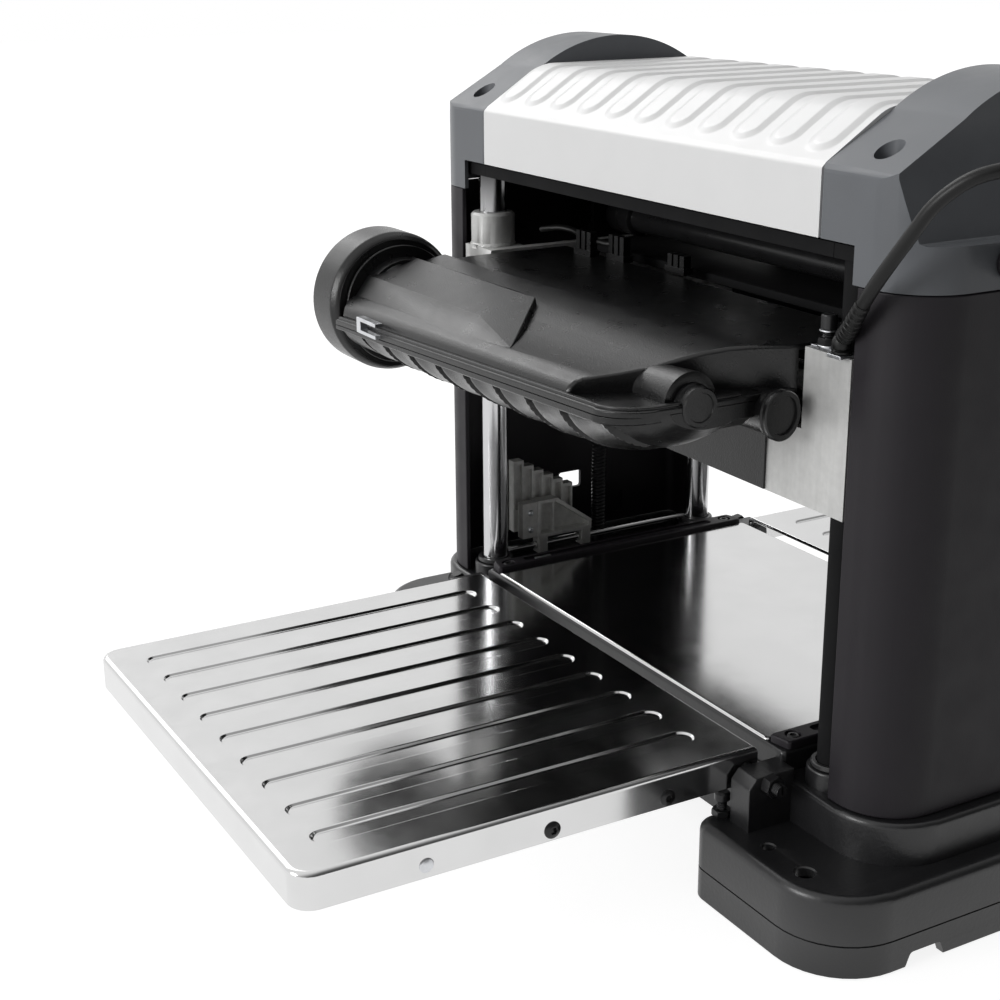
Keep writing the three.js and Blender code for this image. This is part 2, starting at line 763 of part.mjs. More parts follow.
// Carriage casting: an end plate, two column blocks and a flange on each side, and the walls between
function makeCarriageCasting() {
  const reach = blockInnerX + endPlate;
  let body = join(
    box(-blockInnerX, blockInnerX, -carriageHalfDepth, -carriageHalfDepth + carriageWall, 0, rearWallHeight),
    box(-blockInnerX, blockInnerX, carriageHalfDepth - carriageWall, carriageHalfDepth, 0, blockHeight),
    box(-blockInnerX, blockInnerX, topPlateRearY, carriageHalfDepth, blockHeight - carriageWall, blockHeight),
  );
  for (const [, side] of sides) {
    body = join(
      body,
      box(side * (blockInnerX - 0.5), side * reach, -carriageHalfDepth, carriageHalfDepth, 0, blockHeight),
      box(
        side * reach, side * blockOuterX,
        -carriageHalfDepth + 1, carriageHalfDepth - 1, flangeZ, flangeZ + flangeThickness,
      ),
      rod('z', nutBossR, flangeZ, flangeZ + flangeThickness, side * screwX, screwY),
    );
    for (const [, end] of ends) {
      const y = [end * carriageHalfDepth, end * (carriageHalfDepth - blockDepth)];
      body = join(
        body,
        box(side * (reach - 1), side * blockOuterX, y[0], y[1], 0, blockHeight),
      );
      if (side > 0 && end < 0) continue;
      body = join(
        body,
        rod('z', sleeveR, blockHeight - 1, blockHeight + sleeveRise, side * columnX, end * columnY),
      );
    }
    for (const [, end] of ends) {
      body = cut(
        body,
        rod('z', columnR + gap, -1, blockHeight + sleeveRise + 1, side * columnX, end * columnY, 24),
        rod(
          'x', rollerShaftR + gap, side * (blockInnerX - 1), side * (reach + 1), end * rollerY, rollerZ, 16,
        ),
      );
    }
    body = cut(
      body,
      rod('z', nutR + gap, flangeZ - 1, flangeZ + flangeThickness + 1, side * screwX, screwY),
      rod('x', bearingR + gap, side * (blockInnerX - 1), side * (reach + 1), 0, cutterZ),
    );
  }
  const beltSlot = box(
    reach + 0.01, reach + pulleyWidth + 7,
    -cutterPulleyR - beltThickness - 4, motorY + motorPulleyR + beltThickness + 4,
    flangeZ - 1, flangeZ + flangeThickness + 1,
  );
  return cut(body, beltSlot);
}

function makeLeadNut(side) {
  return tube(
    'z', nutR, screwR + runGap, flangeZ - 1.5, flangeZ + flangeThickness + 1.5, side * screwX, screwY,
  );
}

function makeCutterhead() {
  const reach = blockInnerX + endPlate;
  const half = cutterHalfLength;
  let head = join(
    rod('x', cutterBodyR, -half, half, 0, cutterZ, 24),
    rod('x', cutterShaftR, -reach, reach + pulleyWidth + 2, 0, cutterZ, 16),
  );
  for (let i = 0; i < knifeCount; i += 1) {
    const angle = (i * 2 * Math.PI) / knifeCount + knifeTurn;
    const slot = new THREE.BoxGeometry(2 * half + 2, knifeThickness + 2 * gap, knifeHeight + 4);
    slot.translate(0, 0, cutR - knifeHeight / 2 + 2 - gap);
    slot.rotateX(angle).translate(0, 0, cutterZ);
    head = cut(head, solid(slot));
  }
  return head;
}

function makeKnife(i) {
  const blade = new THREE.BoxGeometry(2 * cutterHalfLength, knifeThickness, knifeHeight);
  blade.translate(0, 0, cutR - knifeHeight / 2 - 0.1);
  blade.rotateX((i * 2 * Math.PI) / knifeCount + knifeTurn).translate(0, 0, cutterZ);
  return solid(blade);
}

function makeCutterBearing(side) {
  const x = side * blockInnerX;
  const xs = [x, x + side * endPlate];
  return tube('x', bearingR, cutterShaftR + gap, Math.min(...xs), Math.max(...xs), 0, cutterZ);
}

function makeRoller(end) {
  const reach = blockInnerX + endPlate;
  return join(
    rod('x', rollerR, -cutterHalfLength, cutterHalfLength, end * rollerY, rollerZ, 24),
    rod('x', rollerShaftR, -reach - sprocketWidth - 3, reach - 1, end * rollerY, rollerZ, 14),
  );
}

function makeSprocket(end) {
  const from = -(blockInnerX + endPlate) - 1;
  return tube('x', sprocketR, rollerShaftR + 0.1, from - sprocketWidth, from, end * rollerY, rollerZ, 18);
}

// A loop of chain or belt round two wheels, as a band with a constant thickness
function bandShape(y0, z0, r0, y1, z1, r1) {
  const span = Math.hypot(y1 - y0, z1 - z0);
  const lean = Math.atan2(z1 - z0, y1 - y0);
  const spread = Math.acos((r0 - r1) / span);
  const shape = new THREE.Shape();
  shape.absarc(y0, z0, r0, lean + spread, lean - spread + 2 * Math.PI, false);
  shape.absarc(y1, z1, r1, lean - spread, lean + spread, false);
  return shape;
}

function makeBand(x0, x1, y0, z0, r0, y1, z1, r1, thickness, segments) {
  const outer = bandShape(y0, z0, r0 + thickness, y1, z1, r1 + thickness);
  const inner = bandShape(y0, z0, r0, y1, z1, r1);
  return cut(prism('x', outer, x0, x1, segments), prism('x', inner, x0 - 1, x1 + 1, segments));
}

function makeChain() {
  const from = -(blockInnerX + endPlate) - 1 - sprocketWidth;
  const r = sprocketR + gap;
  return makeBand(from, from + sprocketWidth, -rollerY, rollerZ, r, rollerY, rollerZ, r, chainThickness, 10);
}

function makePulley(r, bore, y, z, sidesCount) {
  const from = blockInnerX + endPlate + 1;
  return tube('x', r, bore + 0.1, from, from + pulleyWidth, y, z, sidesCount);
}

function makeBelt() {
  const from = blockInnerX + endPlate + 1.5;
  const to = from + pulleyWidth - 1;
  return makeBand(
    from, to, 0, cutterZ, cutterPulleyR + gap, motorY, motorZ, motorPulleyR + gap, beltThickness, 10,
  );
}

function makeMotor() {
  const shell = cut(
    rod('x', motorR, motorLeftX, motorRightX, motorY, motorZ, 24),
    rod('x', motorShaftR + 1, motorRightX - 20, motorRightX + 1, motorY, motorZ, 16),
  );
  const cradle = (x) => box(x, x + 12, motorY - 26, motorY + 26, blockHeight + gap, motorZ - 20);
  return join(shell, cradle(motorLeftX + 20), cradle(motorRightX - 36));
}

function makeMotorRotor() {
  const end = blockInnerX + endPlate + pulleyWidth + 2;
  return join(
    rod('x', motorShaftR, motorRightX - 19, end, motorY, motorZ, 14),
    makePulley(motorPulleyR, motorShaftR - 0.5, motorY, motorZ, 18),
  );
}

// Dust hood: an upper shell, a lower trough like half a barrel, and the port
function hoodTopShape(inset) {
  const top = hoodTopZ - inset;
  const low = seamZ + gap / 2 - (inset > 0 ? 1 : 0);
  const shape = new THREE.Shape();
  shape.moveTo(hoodFrontY - 3, low);
  shape.lineTo(hoodFrontY - 3, top);
  const bendY = -carriageHalfDepth - hoodCornerY;
  shape.lineTo(bendY, top);
  shape.bezierCurveTo(
    bendY - hoodTopRun, top - hoodDrop / 12,
    barrelY - barrelR + hoodDrop - 2 + inset, top - hoodDrop,
    barrelY - barrelR + inset, low,
  );
  return shape;
}

function hoodPlan(inset) {
  const left = hoodLeftX + inset;
  const right = hoodRightX - inset;
  const rear = barrelY - barrelR - 10;
  return outline([
    [left, hoodFrontY + 5], [right, hoodFrontY + 5], [right, -carriageHalfDepth - 1 + inset],
    [hoodCutX - inset * 0.6, barrelY - barrelR + inset], [hoodCutX - 10, rear], [left, rear],
  ]);
}

// A faceted duct over the barrel, which runs out on the shell in a point
function makeDuct() {
  const end = hoodLeftX + ductLength;
  const at = (x, [y, z]) => [x, barrelY + y, seamZ + z];
  const [foot, ridge, back] = ductSection;
  return wasm.Manifold.hull([
    ...ductSection.map((point) => at(hoodLeftX, point)),
    at(end + 10, foot), at(end, ridge), at(end - 18, back),
    at(end + 6, [back[0] + 5, back[1] - 8]), at(end + ductTipLength, [foot[0] + 4, foot[1] + 1]),
  ]);
}

function makeHoodUpper() {
  const w = hoodWall;
  const high = hoodTopZ + 1;
  const low = seamZ - 5;
  const outer = prism('x', hoodTopShape(0), hoodLeftX, hoodRightX, 7)
    .intersect(prism('z', hoodPlan(0), low, high));
  const inner = prism('x', hoodTopShape(w), hoodLeftX - 1, hoodRightX + 1, 7)
    .intersect(prism('z', hoodPlan(w), low, high));
  let shell = cut(outer, inner);
  const behindBlocks = box(-blockInnerX - 8, blockInnerX + 8, -carriageHalfDepth - gap, 0, 0, hoodTopZ - w);
  const portOpening = rod(
    'x', portBoreR - portStep, hoodLeftX - 1, hoodLeftX + w + 1, barrelY, barrelZ, 28,
  );
  shell = cut(shell, behindBlocks);
  shell = cut(join(shell, cut(makeDuct(), inner)), portOpening);
  const lip = prism('x', outline([
    [barrelY - barrelR - seamLip, seamZ + gap / 2], [barrelY - barrelR + 2, seamZ + gap / 2],
    [barrelY - barrelR + 2, seamZ + 3], [barrelY - barrelR - seamLip, seamZ + 3],
  ]), hoodLeftX, hoodCutX - 4);
  const shelfPlan = cornerRect(
    hoodCutX - shelfCornerR, hoodRightX, barrelY - barrelR - seamLip, -carriageHalfDepth - gap,
    [0, shelfCornerR, 0, 0],
  );
  const shelf = cut(prism('z', shelfPlan, seamZ + gap / 2, seamZ + w), prism('z', hoodPlan(w), 0, high));
  const endCap = cut(
    rod('x', endCapR, endCapX - endCapLength, endCapX, barrelY, seamZ + endCapRise, 18),
    box(
      endCapX - endCapLength - 1, endCapX + 1,
      barrelY - 2 * endCapR, barrelY + 2 * endCapR, seamZ - 2 * endCapR, seamZ + gap / 2,
    ),
  );
  return join(shell, lip, shelf, cut(endCap, inner));
}

// One cross ring of the lower trough: an arc below the seam and a web to the carriage wall
function troughRing(x, centreY, centreZ, r, depth, webZ, steps = 12) {
  const top = seamZ - gap / 2;
  const start = Math.PI - Math.asin(Math.min(0.95, (top - centreZ) / r));
  const end = Math.PI * 1.72;
  const ring = [];
  for (let i = 0; i <= steps; i += 1) {
    const angle = start + ((end - start) * i) / steps;
    const height = angle > Math.PI ? depth : r;
    ring.push([x, centreY + r * Math.cos(angle), centreZ + height * Math.sin(angle)]);
  }
  ring.push([x, -carriageHalfDepth - gap, webZ]);
  ring.push([x, -carriageHalfDepth - gap, top]);
  return ring;
}

function makeHoodLower() {
  const w = hoodWall;
  // Each share of the taper draws the ring in towards the end at the right
  // The wall is thinner round the closed end at the right, and the left end is open
  const stations = (inset) => troughSections.map(([alongX, setBack, halfWidth, depth], i) => {
    const share = i / (troughSections.length - 1);
    const wall = inset * (1 - 0.4 * share);
    const ends = i === 0 ? -Math.sign(inset) : -inset * Math.floor(share);
    return troughRing(
      hoodRightX + alongX + ends,
      barrelY - barrelR + setBack + halfWidth,
      barrelZ,
      halfWidth - wall,
      depth - wall,
      webZ + 4 * share ** 3 + wall,
    );
  });
  let shell = cut(loft(stations(0)), loft(stations(w)));
  const lip = prism('x', outline([
    [barrelY - barrelR - seamLip, seamZ - w], [barrelY - barrelR + 2, seamZ - w],
    [barrelY - barrelR + 2, seamZ - gap / 2], [barrelY - barrelR - seamLip, seamZ - gap / 2],
  ]), hoodLeftX, hoodRightX - 2 * shelfCornerR);
  shell = join(shell, lip);
  const stub = join(
    rod('x', stubR, hoodRightX - 2 * stubR, hoodRightX + 8, stubY, stubZ, 18),
    rod('x', stubFlangeR, hoodRightX + 4, hoodRightX + 8, stubY, stubZ, 18),
  );
  const low = seamZ - gap / 2;
  const aboveSeam = box(
    hoodCutX, hoodRightX + 20, stubY - 2 * stubFlangeR, stubY + 2 * stubFlangeR, low, low + 2 * stubFlangeR,
  );
  const trimmed = cut(stub, aboveSeam);
  return join(shell, trimmed);
}

function makeDustPort() {
  const right = hoodLeftX - gap;
  const left = right - portGapX - portLength;
  const collar = tube('x', portR, portBoreR, left, right - portGapX, barrelY, barrelZ, 28);
  const bore = portBoreR - portStep;
  const step = tube('x', portR - 3, bore, right - portGapX - 3, right, barrelY, barrelZ, 28);
  return join(collar, step);
}

// Depth stop: a slider on a rod that carries a block of steps
function makeStopRod() {
  const half = columnY - columnR - gap;
  return rod('y', stopRodR, -half, half, -stopRodX, stopRodZ, 12);
}

function makeStopSlider() {
  const y0 = stopSliderY - stopSliderLength / 2;
  const y1 = stopSliderY + stopSliderLength / 2;
  const z0 = stopRodZ + 7;
  const plate = outline([[y0, z0], [y1, z0], [y1, z0 + 8], [y0 + 18, z0 + 31], [y0, z0 + 31]]);
  const hole = outline([
    [y0 + 4, z0 + 4], [y1 - 4, z0 + 4], [y1 - 4, z0 + 7], [y0 + 16, z0 + 27], [y0 + 4, z0 + 27],
  ]);
  const x0 = -stopRodX - 4;
  const x1 = -stopRodX + 6;
  const foot = (y) => box(x0, x1, y, y + 8, stopRodZ - 6, z0 + 1);
  const web = box(x0, x0 + 2, y0 + 1, y1 - 1, z0, z0 + 8);
  const frame = join(
    cut(prism('x', plate, x0, x1), prism('x', hole, x0 + 2, x1 + 1)),
    foot(y0 + 1), foot(y1 - 9), web,
  );
  return cut(frame, rod('y', stopRodR + gap, y0 - 1, y1 + 1, -stopRodX, stopRodZ, 12));
}

function makeStopSteps() {
  const y0 = stopSliderY - stopSliderLength / 2 - 16;
  const low = stopRodZ + 12;
  const points = [[y0, low]];
  const lastY = y0 + stopCount * stopStepY;
  points.push([lastY, low]);
  for (let i = stopCount - 1; i >= 0; i -= 1) {
    const z = stopTopZ - i * stopStepZ;
    points.push([y0 + (i + 1) * stopStepY, z], [y0 + i * stopStepY, z]);
  }
  const inner = -stopRodX - 4 - gap;
  return prism('x', outline(points), inner - stopBlockWidth, inner);
}

// Controls on the front of the left cover
function makeSwitchBox() {
  const y = coverHalfDepth + gap;
  const x = -switchX;
  const shape = roundedRect(
    x - switchWidth / 2, x + switchWidth / 2, switchZ - switchHeight / 2, switchZ + switchHeight / 2, 5,
  );
  const hollow = roundedRect(x - 12, x + 12, switchZ - 27, switchZ + 27, 3);
  return cut(prism('y', shape, y, y + switchDepth, 3), prism('y', hollow, y + 5, y + switchDepth + 1, 2));
}

function makeSwitchPaddle() {
  const y = coverHalfDepth + gap + switchDepth;
  const x = -switchX;
  const plate = roundedRect(x - 14, x + 14, switchZ - 30, switchZ + 20, 4);
  const hinge = rod('x', 3, x - 11.7, x + 11.7, y - 4, switchZ + 22, 12);
  const arm = box(x - 8, x + 8, y - 4, y + 2, switchZ + 14, switchZ + 22);
  return join(prism('y', plate, y + gap, y + 5, 3), hinge, arm);
}

function makeBreakerButton() {
  return rod(
    'y', buttonR, coverHalfDepth - 2 * coverWall, coverHalfDepth + buttonRise, -switchX, buttonZ, 16,
  );
}

function makeDepthScale() {
  const y = coverHalfDepth + gap;
  const low = carriageZ + blockHeight / 2 - boardOpening - 5;
  return box(scaleX - 9, scaleX + 9, y, y + 1, low, low + scaleLength);
}

function makeScalePointer() {
  const y = carriageHalfDepth + gap;
  const z = blockHeight / 2;
  return join(
    box(blockOuterX - 14, blockOuterX - 2, y, y + 3.6, z - 6, z + 6),
    box(blockOuterX - 14, scaleX - 2, y + 2.6, y + 3.6, z - 1.5, z + 1.5),
  );
}

// Motor lead: from an elbow on the right rear block, up and over to a gland on the right cap
const leadPoints = [
  [4.3, -2, 12.7], [14.5, -6.8, 21], [25.5, -11, 32.5], [36, -13, 45],
  [45.9, -13, 57.5], [55.5, -12.5, 69.5], [63.5, -11.5, 80], [69.5, -10, 88.5],
  [77.5, -6, 97.5], [86.5, 0.5, 105], [95.5, 10, 109], [102, 22, 109.5],
  [104.5, 34, 104], [103.5, 44.5, 94], [99.5, 52.5, 81], [92, 58, 66.5],
  [82, 60.6, 56.4], [71.5, 61, 54.5],
].map(([dx, dy, dz]) => [elbowX + dx, elbowY + dy, blockHeight + dz]);

function makeMotorLead() {
  const path = new THREE.CatmullRomCurve3(
    leadPoints.map((point) => new THREE.Vector3(...point)), false, 'centripetal',
  );
  const ring = new THREE.Shape();
  ring.absarc(0, 0, leadR, 0, Math.PI * 2, false);
  return solid(new THREE.ExtrudeGeometry(ring, {
    steps: 40,
    bevelEnabled: false,
    curveSegments: 4,
    extrudePath: path,
  }));
}

function makeLeadGland() {
  const [x, y, z] = leadPoints[leadPoints.length - 1];
  const zWorld = z + carriageZ;
  const from = coverOuterX + gap;
  return join(
    rod('x', glandR, from, from + 7, y, zWorld, 6),
    rod('x', glandR - 2, from + 6, x - 3 * gap, y, zWorld, 16, leadR + 1.2),
  );
}

// A strap bolted on the block beside the column, with the lead's elbow on its end
function makeCableClip() {
  const low = blockHeight + gap;
  const rear = -carriageHalfDepth;
  const strap = box(blockInnerX + 4, blockOuterX - 3, rear, rear + 13, low, low + strapThickness);
  const seat = box(elbowX - elbowR, elbowX + elbowR, elbowY - elbowR, rear + 1, low, low + strapThickness);
  return cut(
    join(strap, seat),
    rod('z', columnR + 1.5, low - 1, low + strapThickness + 1, columnX, -columnY),
  );
}

function makeLeadElbow() {
  const ball = new THREE.SphereGeometry(elbowR, 14, 10);
  const seat = blockHeight + gap + strapThickness + gap;
  ball.rotateX(Math.PI / 2).translate(elbowX, elbowY, seat + elbowR);
  return join(solid(ball), rod('z', elbowR * 0.8, seat, seat + elbowR, elbowX, elbowY, 14));
}

// Frame parts
addPart(planer, 'base', makeBase(), blackCast);
addPart(planer, 'bed_plate', makeBedPlate(), polishedSteel);
addPart(planer, 'upper_frame', makeUpperFrame(), blackSteel);
for (const [name, side] of sides) {
  addPart(planer, `${name}_bed_guide`, makeBedGuide(side), blackPlastic);
  addPart(planer, `${name}_gear_bracket`, makeGearBracket(side), blackSteel);
  addPart(planer, `${name}_column_cover`, makeColumnCover(side), blackPlastic);
  addPart(planer, `${name}_side_cap`, makeSideCap(side), greyPlastic);
  addPart(planer, `${name}_lead_screw`, makeLeadScrew(side), blackSteel);
  for (const [endName, end] of ends) {
    addPart(planer, `${endName}_${name}_column`, makeGuideColumn(side, end), polishedSteel);
    addPart(planer, `${endName}_${name}_pivot_bolt`, makePivotBolt(side, end), blackSteel);
  }
}
addPart(planer, 'top_cover', makeTopCover(), whitePaint);
addPart(planer, 'cross_shaft', makeCrossShaft(), blackSteel);
addPart(planer, 'crank_arm', makeCrankArm(), blackCast);
addPart(planer, 'crank_knob', makeCrankKnob(), blackPlastic);
addPart(planer, 'outfeed_table', makeTable(-1), polishedSteel);
addPart(planer, 'infeed_table', makeTable(1), polishedSteel);
addPart(planer, 'stop_rod', makeStopRod(), polishedSteel);
addPart(planer, 'stop_slider', makeStopSlider(), dieCast);
addPart(planer, 'stop_steps', makeStopSteps(), dieCast);
addPart(planer, 'switch_box', makeSwitchBox(), blackPlastic);
addPart(planer, 'switch_paddle', makeSwitchPaddle(), redPlastic);
addPart(planer, 'breaker_button', makeBreakerButton(), blackPlastic);
addPart(planer, 'depth_scale', makeDepthScale(), whitePaint);
addPart(planer, 'lead_gland', makeLeadGland(), blackPlastic);

// Carriage parts, placed from the casting's underside
addPart(carriage, 'carriage_casting', makeCarriageCasting(), castAluminium);
for (const [name, side] of sides) {
  addPart(carriage, `${name}_lead_nut`, makeLeadNut(side), bronze);
  addPart(carriage, `${name}_cutter_bearing`, makeCutterBearing(side), plainSteel);
}
addPart(carriage, 'cutterhead', makeCutterhead(), plainSteel);
for (let i = 0; i < knifeCount; i += 1) {
  addPart(carriage, `knife_${i + 1}`, makeKnife(i), polishedSteel);
}
addPart(carriage, 'cutter_pulley', makePulley(cutterPulleyR, cutterShaftR, 0, cutterZ, 20), plainSteel);
addPart(carriage, 'outfeed_roller', makeRoller(-1), rubber);
addPart(carriage, 'infeed_roller', makeRoller(1), rubber);
addPart(carriage, 'outfeed_sprocket', makeSprocket(-1), plainSteel);
addPart(carriage, 'infeed_sprocket', makeSprocket(1), plainSteel);
addPart(carriage, 'feed_chain', makeChain(), plainSteel);
addPart(carriage, 'motor', makeMotor(), blackSteel);
addPart(carriage, 'motor_rotor', makeMotorRotor(), plainSteel);
addPart(carriage, 'drive_belt', makeBelt(), rubber);
addPart(carriage, 'hood_upper', makeHoodUpper(), blackPlastic);
addPart(carriage, 'hood_lower', makeHoodLower(), blackPlastic);
addPart(carriage, 'dust_port', makeDustPort(), blackPlastic);
addPart(carriage, 'scale_pointer', makeScalePointer(), redPlastic);
addPart(carriage, 'cable_clip', makeCableClip(), zinc);
addPart(carriage, 'lead_elbow', makeLeadElbow(), rubber);
addPart(carriage, 'motor_lead', makeMotorLead(), rubber);

export default planer;
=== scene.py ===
# Looks for the benchtop thickness planer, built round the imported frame.
# Shapes are written in millimetres, as in the source, and become metres when a piece is placed.
import bmesh
import bpy
import json
import math
from mathutils import Matrix, Vector


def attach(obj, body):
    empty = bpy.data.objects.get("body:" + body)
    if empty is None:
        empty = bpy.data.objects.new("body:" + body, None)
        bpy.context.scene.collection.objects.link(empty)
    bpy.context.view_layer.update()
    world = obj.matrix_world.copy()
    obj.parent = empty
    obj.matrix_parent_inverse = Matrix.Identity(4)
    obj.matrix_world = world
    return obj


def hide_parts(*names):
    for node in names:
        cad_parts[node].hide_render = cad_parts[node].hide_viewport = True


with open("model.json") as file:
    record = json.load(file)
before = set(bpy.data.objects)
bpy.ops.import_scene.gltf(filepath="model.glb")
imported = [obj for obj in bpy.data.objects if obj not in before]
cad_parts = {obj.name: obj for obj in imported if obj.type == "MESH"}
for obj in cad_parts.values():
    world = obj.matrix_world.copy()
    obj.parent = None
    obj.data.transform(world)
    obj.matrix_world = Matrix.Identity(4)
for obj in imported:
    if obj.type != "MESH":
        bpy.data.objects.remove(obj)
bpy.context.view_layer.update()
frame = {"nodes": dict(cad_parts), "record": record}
scene = bpy.context.scene
mm = 0.001

# Camera, solved from the edges of the table and the bed
camera_place = (0.8900, -0.7087, 0.5499)
camera_yaw = 1.0565
camera_pitch = 0.3196
camera_roll = -0.0071
camera_lens = 61.26

# Light: a sky that is weaker on the machine's right, a soft key and a shine from its left, a rear fill
sky_way = (-0.75, -0.35, 0.56)
sky_weak = 0.03
sky_strong = 0.60
shine_weak = 0.10
key_way = (-0.78, -0.12, 0.62)
key_strength = 0.5
key_angle = 45
fill_way = (-0.10, -0.96, 0.26)
fill_strength = 1.55
fill_angle = 25
shine_way = (-0.80, -0.02, 0.60)
shine_strength = 0.2
shine_angle = 16
floor_tone = 0.34
floor_glow = 0.87
# The middle and half width of the dark floor in each foot, and its half depth
foot_shade_x = (0.211, 0.044)
foot_shade_y = 0.156

# Sizes that repeat the source's driving dimensions
carriage_z = 244
bed_top = 92
bed_half = 163
bed_half_depth = 115
table_edge = 127
table_length = 297
table_half = 170
table_rim = 22
table_sheet = 2
table_corner = 14
groove_count = 9
groove_pitch = 34
groove_r = 7.5
groove_end_gap = 24
groove_depth = 1.7
pivot_y = 134
pivot_z = 79
foot_inner = 158
foot_outer = 285
foot_half_depth = 165
foot_corner = 46
foot_inner_r = 12
ledge_z = 50
collar_half_width = 270
collar_half_depth = 117
collar_top = 76
cover_outer = 262
cover_inner = 217
cover_half_depth = 113
cover_wall = 3
cover_corner = 36
cap_seam = 375
cap_inner = 184
cap_step_z = 400
cap_shoulder = 433
notch_x = 213
notch_z = 396
arch_r = 117.6
arch_centre = 364
arch_tangent = 68
cover_top = 463
column_x = 202
column_y = 96
column_r = 10
head_top = 394
screw_x = 222
screw_y = 12
screw_r = 6
crank_z = 349
carriage_half_depth = 112
block_inner = 177
block_outer = 215
block_depth = 32
block_height = 91
flange_z = 66
barrel_y = -179
barrel_z = 57
hood_end = -188
hood_left = -168
hood_right = 172
hood_top = 91
hood_cut = 111
seam_z = 56
seam_lean = 0.041
hood_back = -112.3
barrel_r = 47
switch_x = -234
breaker_z = 273
cap_screw_x = 215
cap_screw_y = 95
guide_screw_y = 102
stop_x = -205
stop_z = 91
stop_y = -34


# Materials: each has its own variation of tone and gloss, and most have a grain or brush marks
def node_adder(tree):
    """A function that adds a node to a tree; an input is a value or another node's output."""
    def add(kind, inputs, output=0, **settings):
        node = tree.nodes.new("ShaderNode" + kind)
        for key, value in settings.items():
            setattr(node, key, value)
        for key, value in inputs.items():
            if isinstance(value, bpy.types.NodeSocket):
                tree.links.new(value, node.inputs[key])
            else:
                node.inputs[key].default_value = value
        return node.outputs[output]
    return add


def material(name, color, roughness, metallic=0.0, specular=0.5, mottle=0.06, mottle_scale=30.0,
             rough_spread=0.08, grain=0.0, grain_scale=900.0, grain_depth=0.0002,
             brush=None, brush_scale=400.0, brush_depth=0.00002, brush_tone=0.0, worn=0.0, painted_shade_heights=None):
    """Worn is the share of bare_color at edges; the last argument gives two heights between which the tone
    darkens upwards, as painted shade.
    """
    made = bpy.data.materials.new(name)
    made.use_nodes = True
    add = node_adder(made.node_tree)
    shader = made.node_tree.nodes["Principled BSDF"].inputs
    shader["Metallic"].default_value = metallic
    shader["Specular IOR Level"].default_value = specular
    place = add("TexCoord", {}, "Object")

    def noise(scale, detail=3.0, source=place, rough=0.55):
        return add("TexNoise", {"Scale": scale, "Detail": detail, "Roughness": rough,
                                "Vector": source}, "Fac")

    def spread(value, low, high, start=0.3, end=0.7):
        return add("MapRange", {"From Min": start, "From Max": end, "To Min": low, "To Max": high,
                                "Value": value}, "Result")

    def tint(share, first, second):
        return add("Mix", {"A": first, "B": (*second, 1.0), "Factor": share}, "Result", data_type="RGBA")

    def toned(factor):
        return tuple(min(1.0, c * factor) for c in color)

    def bump(value, distance, strength, before):
        inputs = {"Strength": strength, "Distance": distance, "Height": value}
        if before:
            inputs["Normal"] = before
        return add("Bump", inputs, "Normal")

    shade = tint(spread(noise(mottle_scale, 4.0), 0.0, 1.0), (*toned(1 - mottle), 1.0), toned(1 + mottle))
    rough = spread(noise(60.0), roughness - rough_spread / 2, roughness + rough_spread / 2)
    normal = None
    if brush:
        stretched = add("Mapping", {"Scale": brush, "Vector": place}, "Vector")
        normal = bump(noise(brush_scale, 5.0, stretched, 0.65), brush_depth, 0.6, None)
        if brush_tone:
            streak = noise(brush_scale * 0.25, 4.0, stretched)
            shade = tint(spread(streak, 0.0, brush_tone), shade, toned(0.45))
    if grain:
        normal = bump(noise(grain_scale, 2.0), grain_depth, grain, normal)
    if worn:
        edge = add("NewGeometry", {}, "Pointiness")
        shade = tint(spread(edge, 0.0, worn, 0.53, 0.62), shade, bare_color)
    # painted shade: the tone darkens upwards between two heights, for the shade and dark reflections under
    # the caps
    if painted_shade_heights:
        height = add("SeparateXYZ", {"Vector": place}, "Z")
        shade = tint(spread(height, 0.0, 0.9, *painted_shade_heights), shade, toned(0.06))
    for label, value in (("Base Color", shade), ("Roughness", rough), ("Normal", normal)):
        if value:
            made.node_tree.links.new(value, shader[label])
    return made


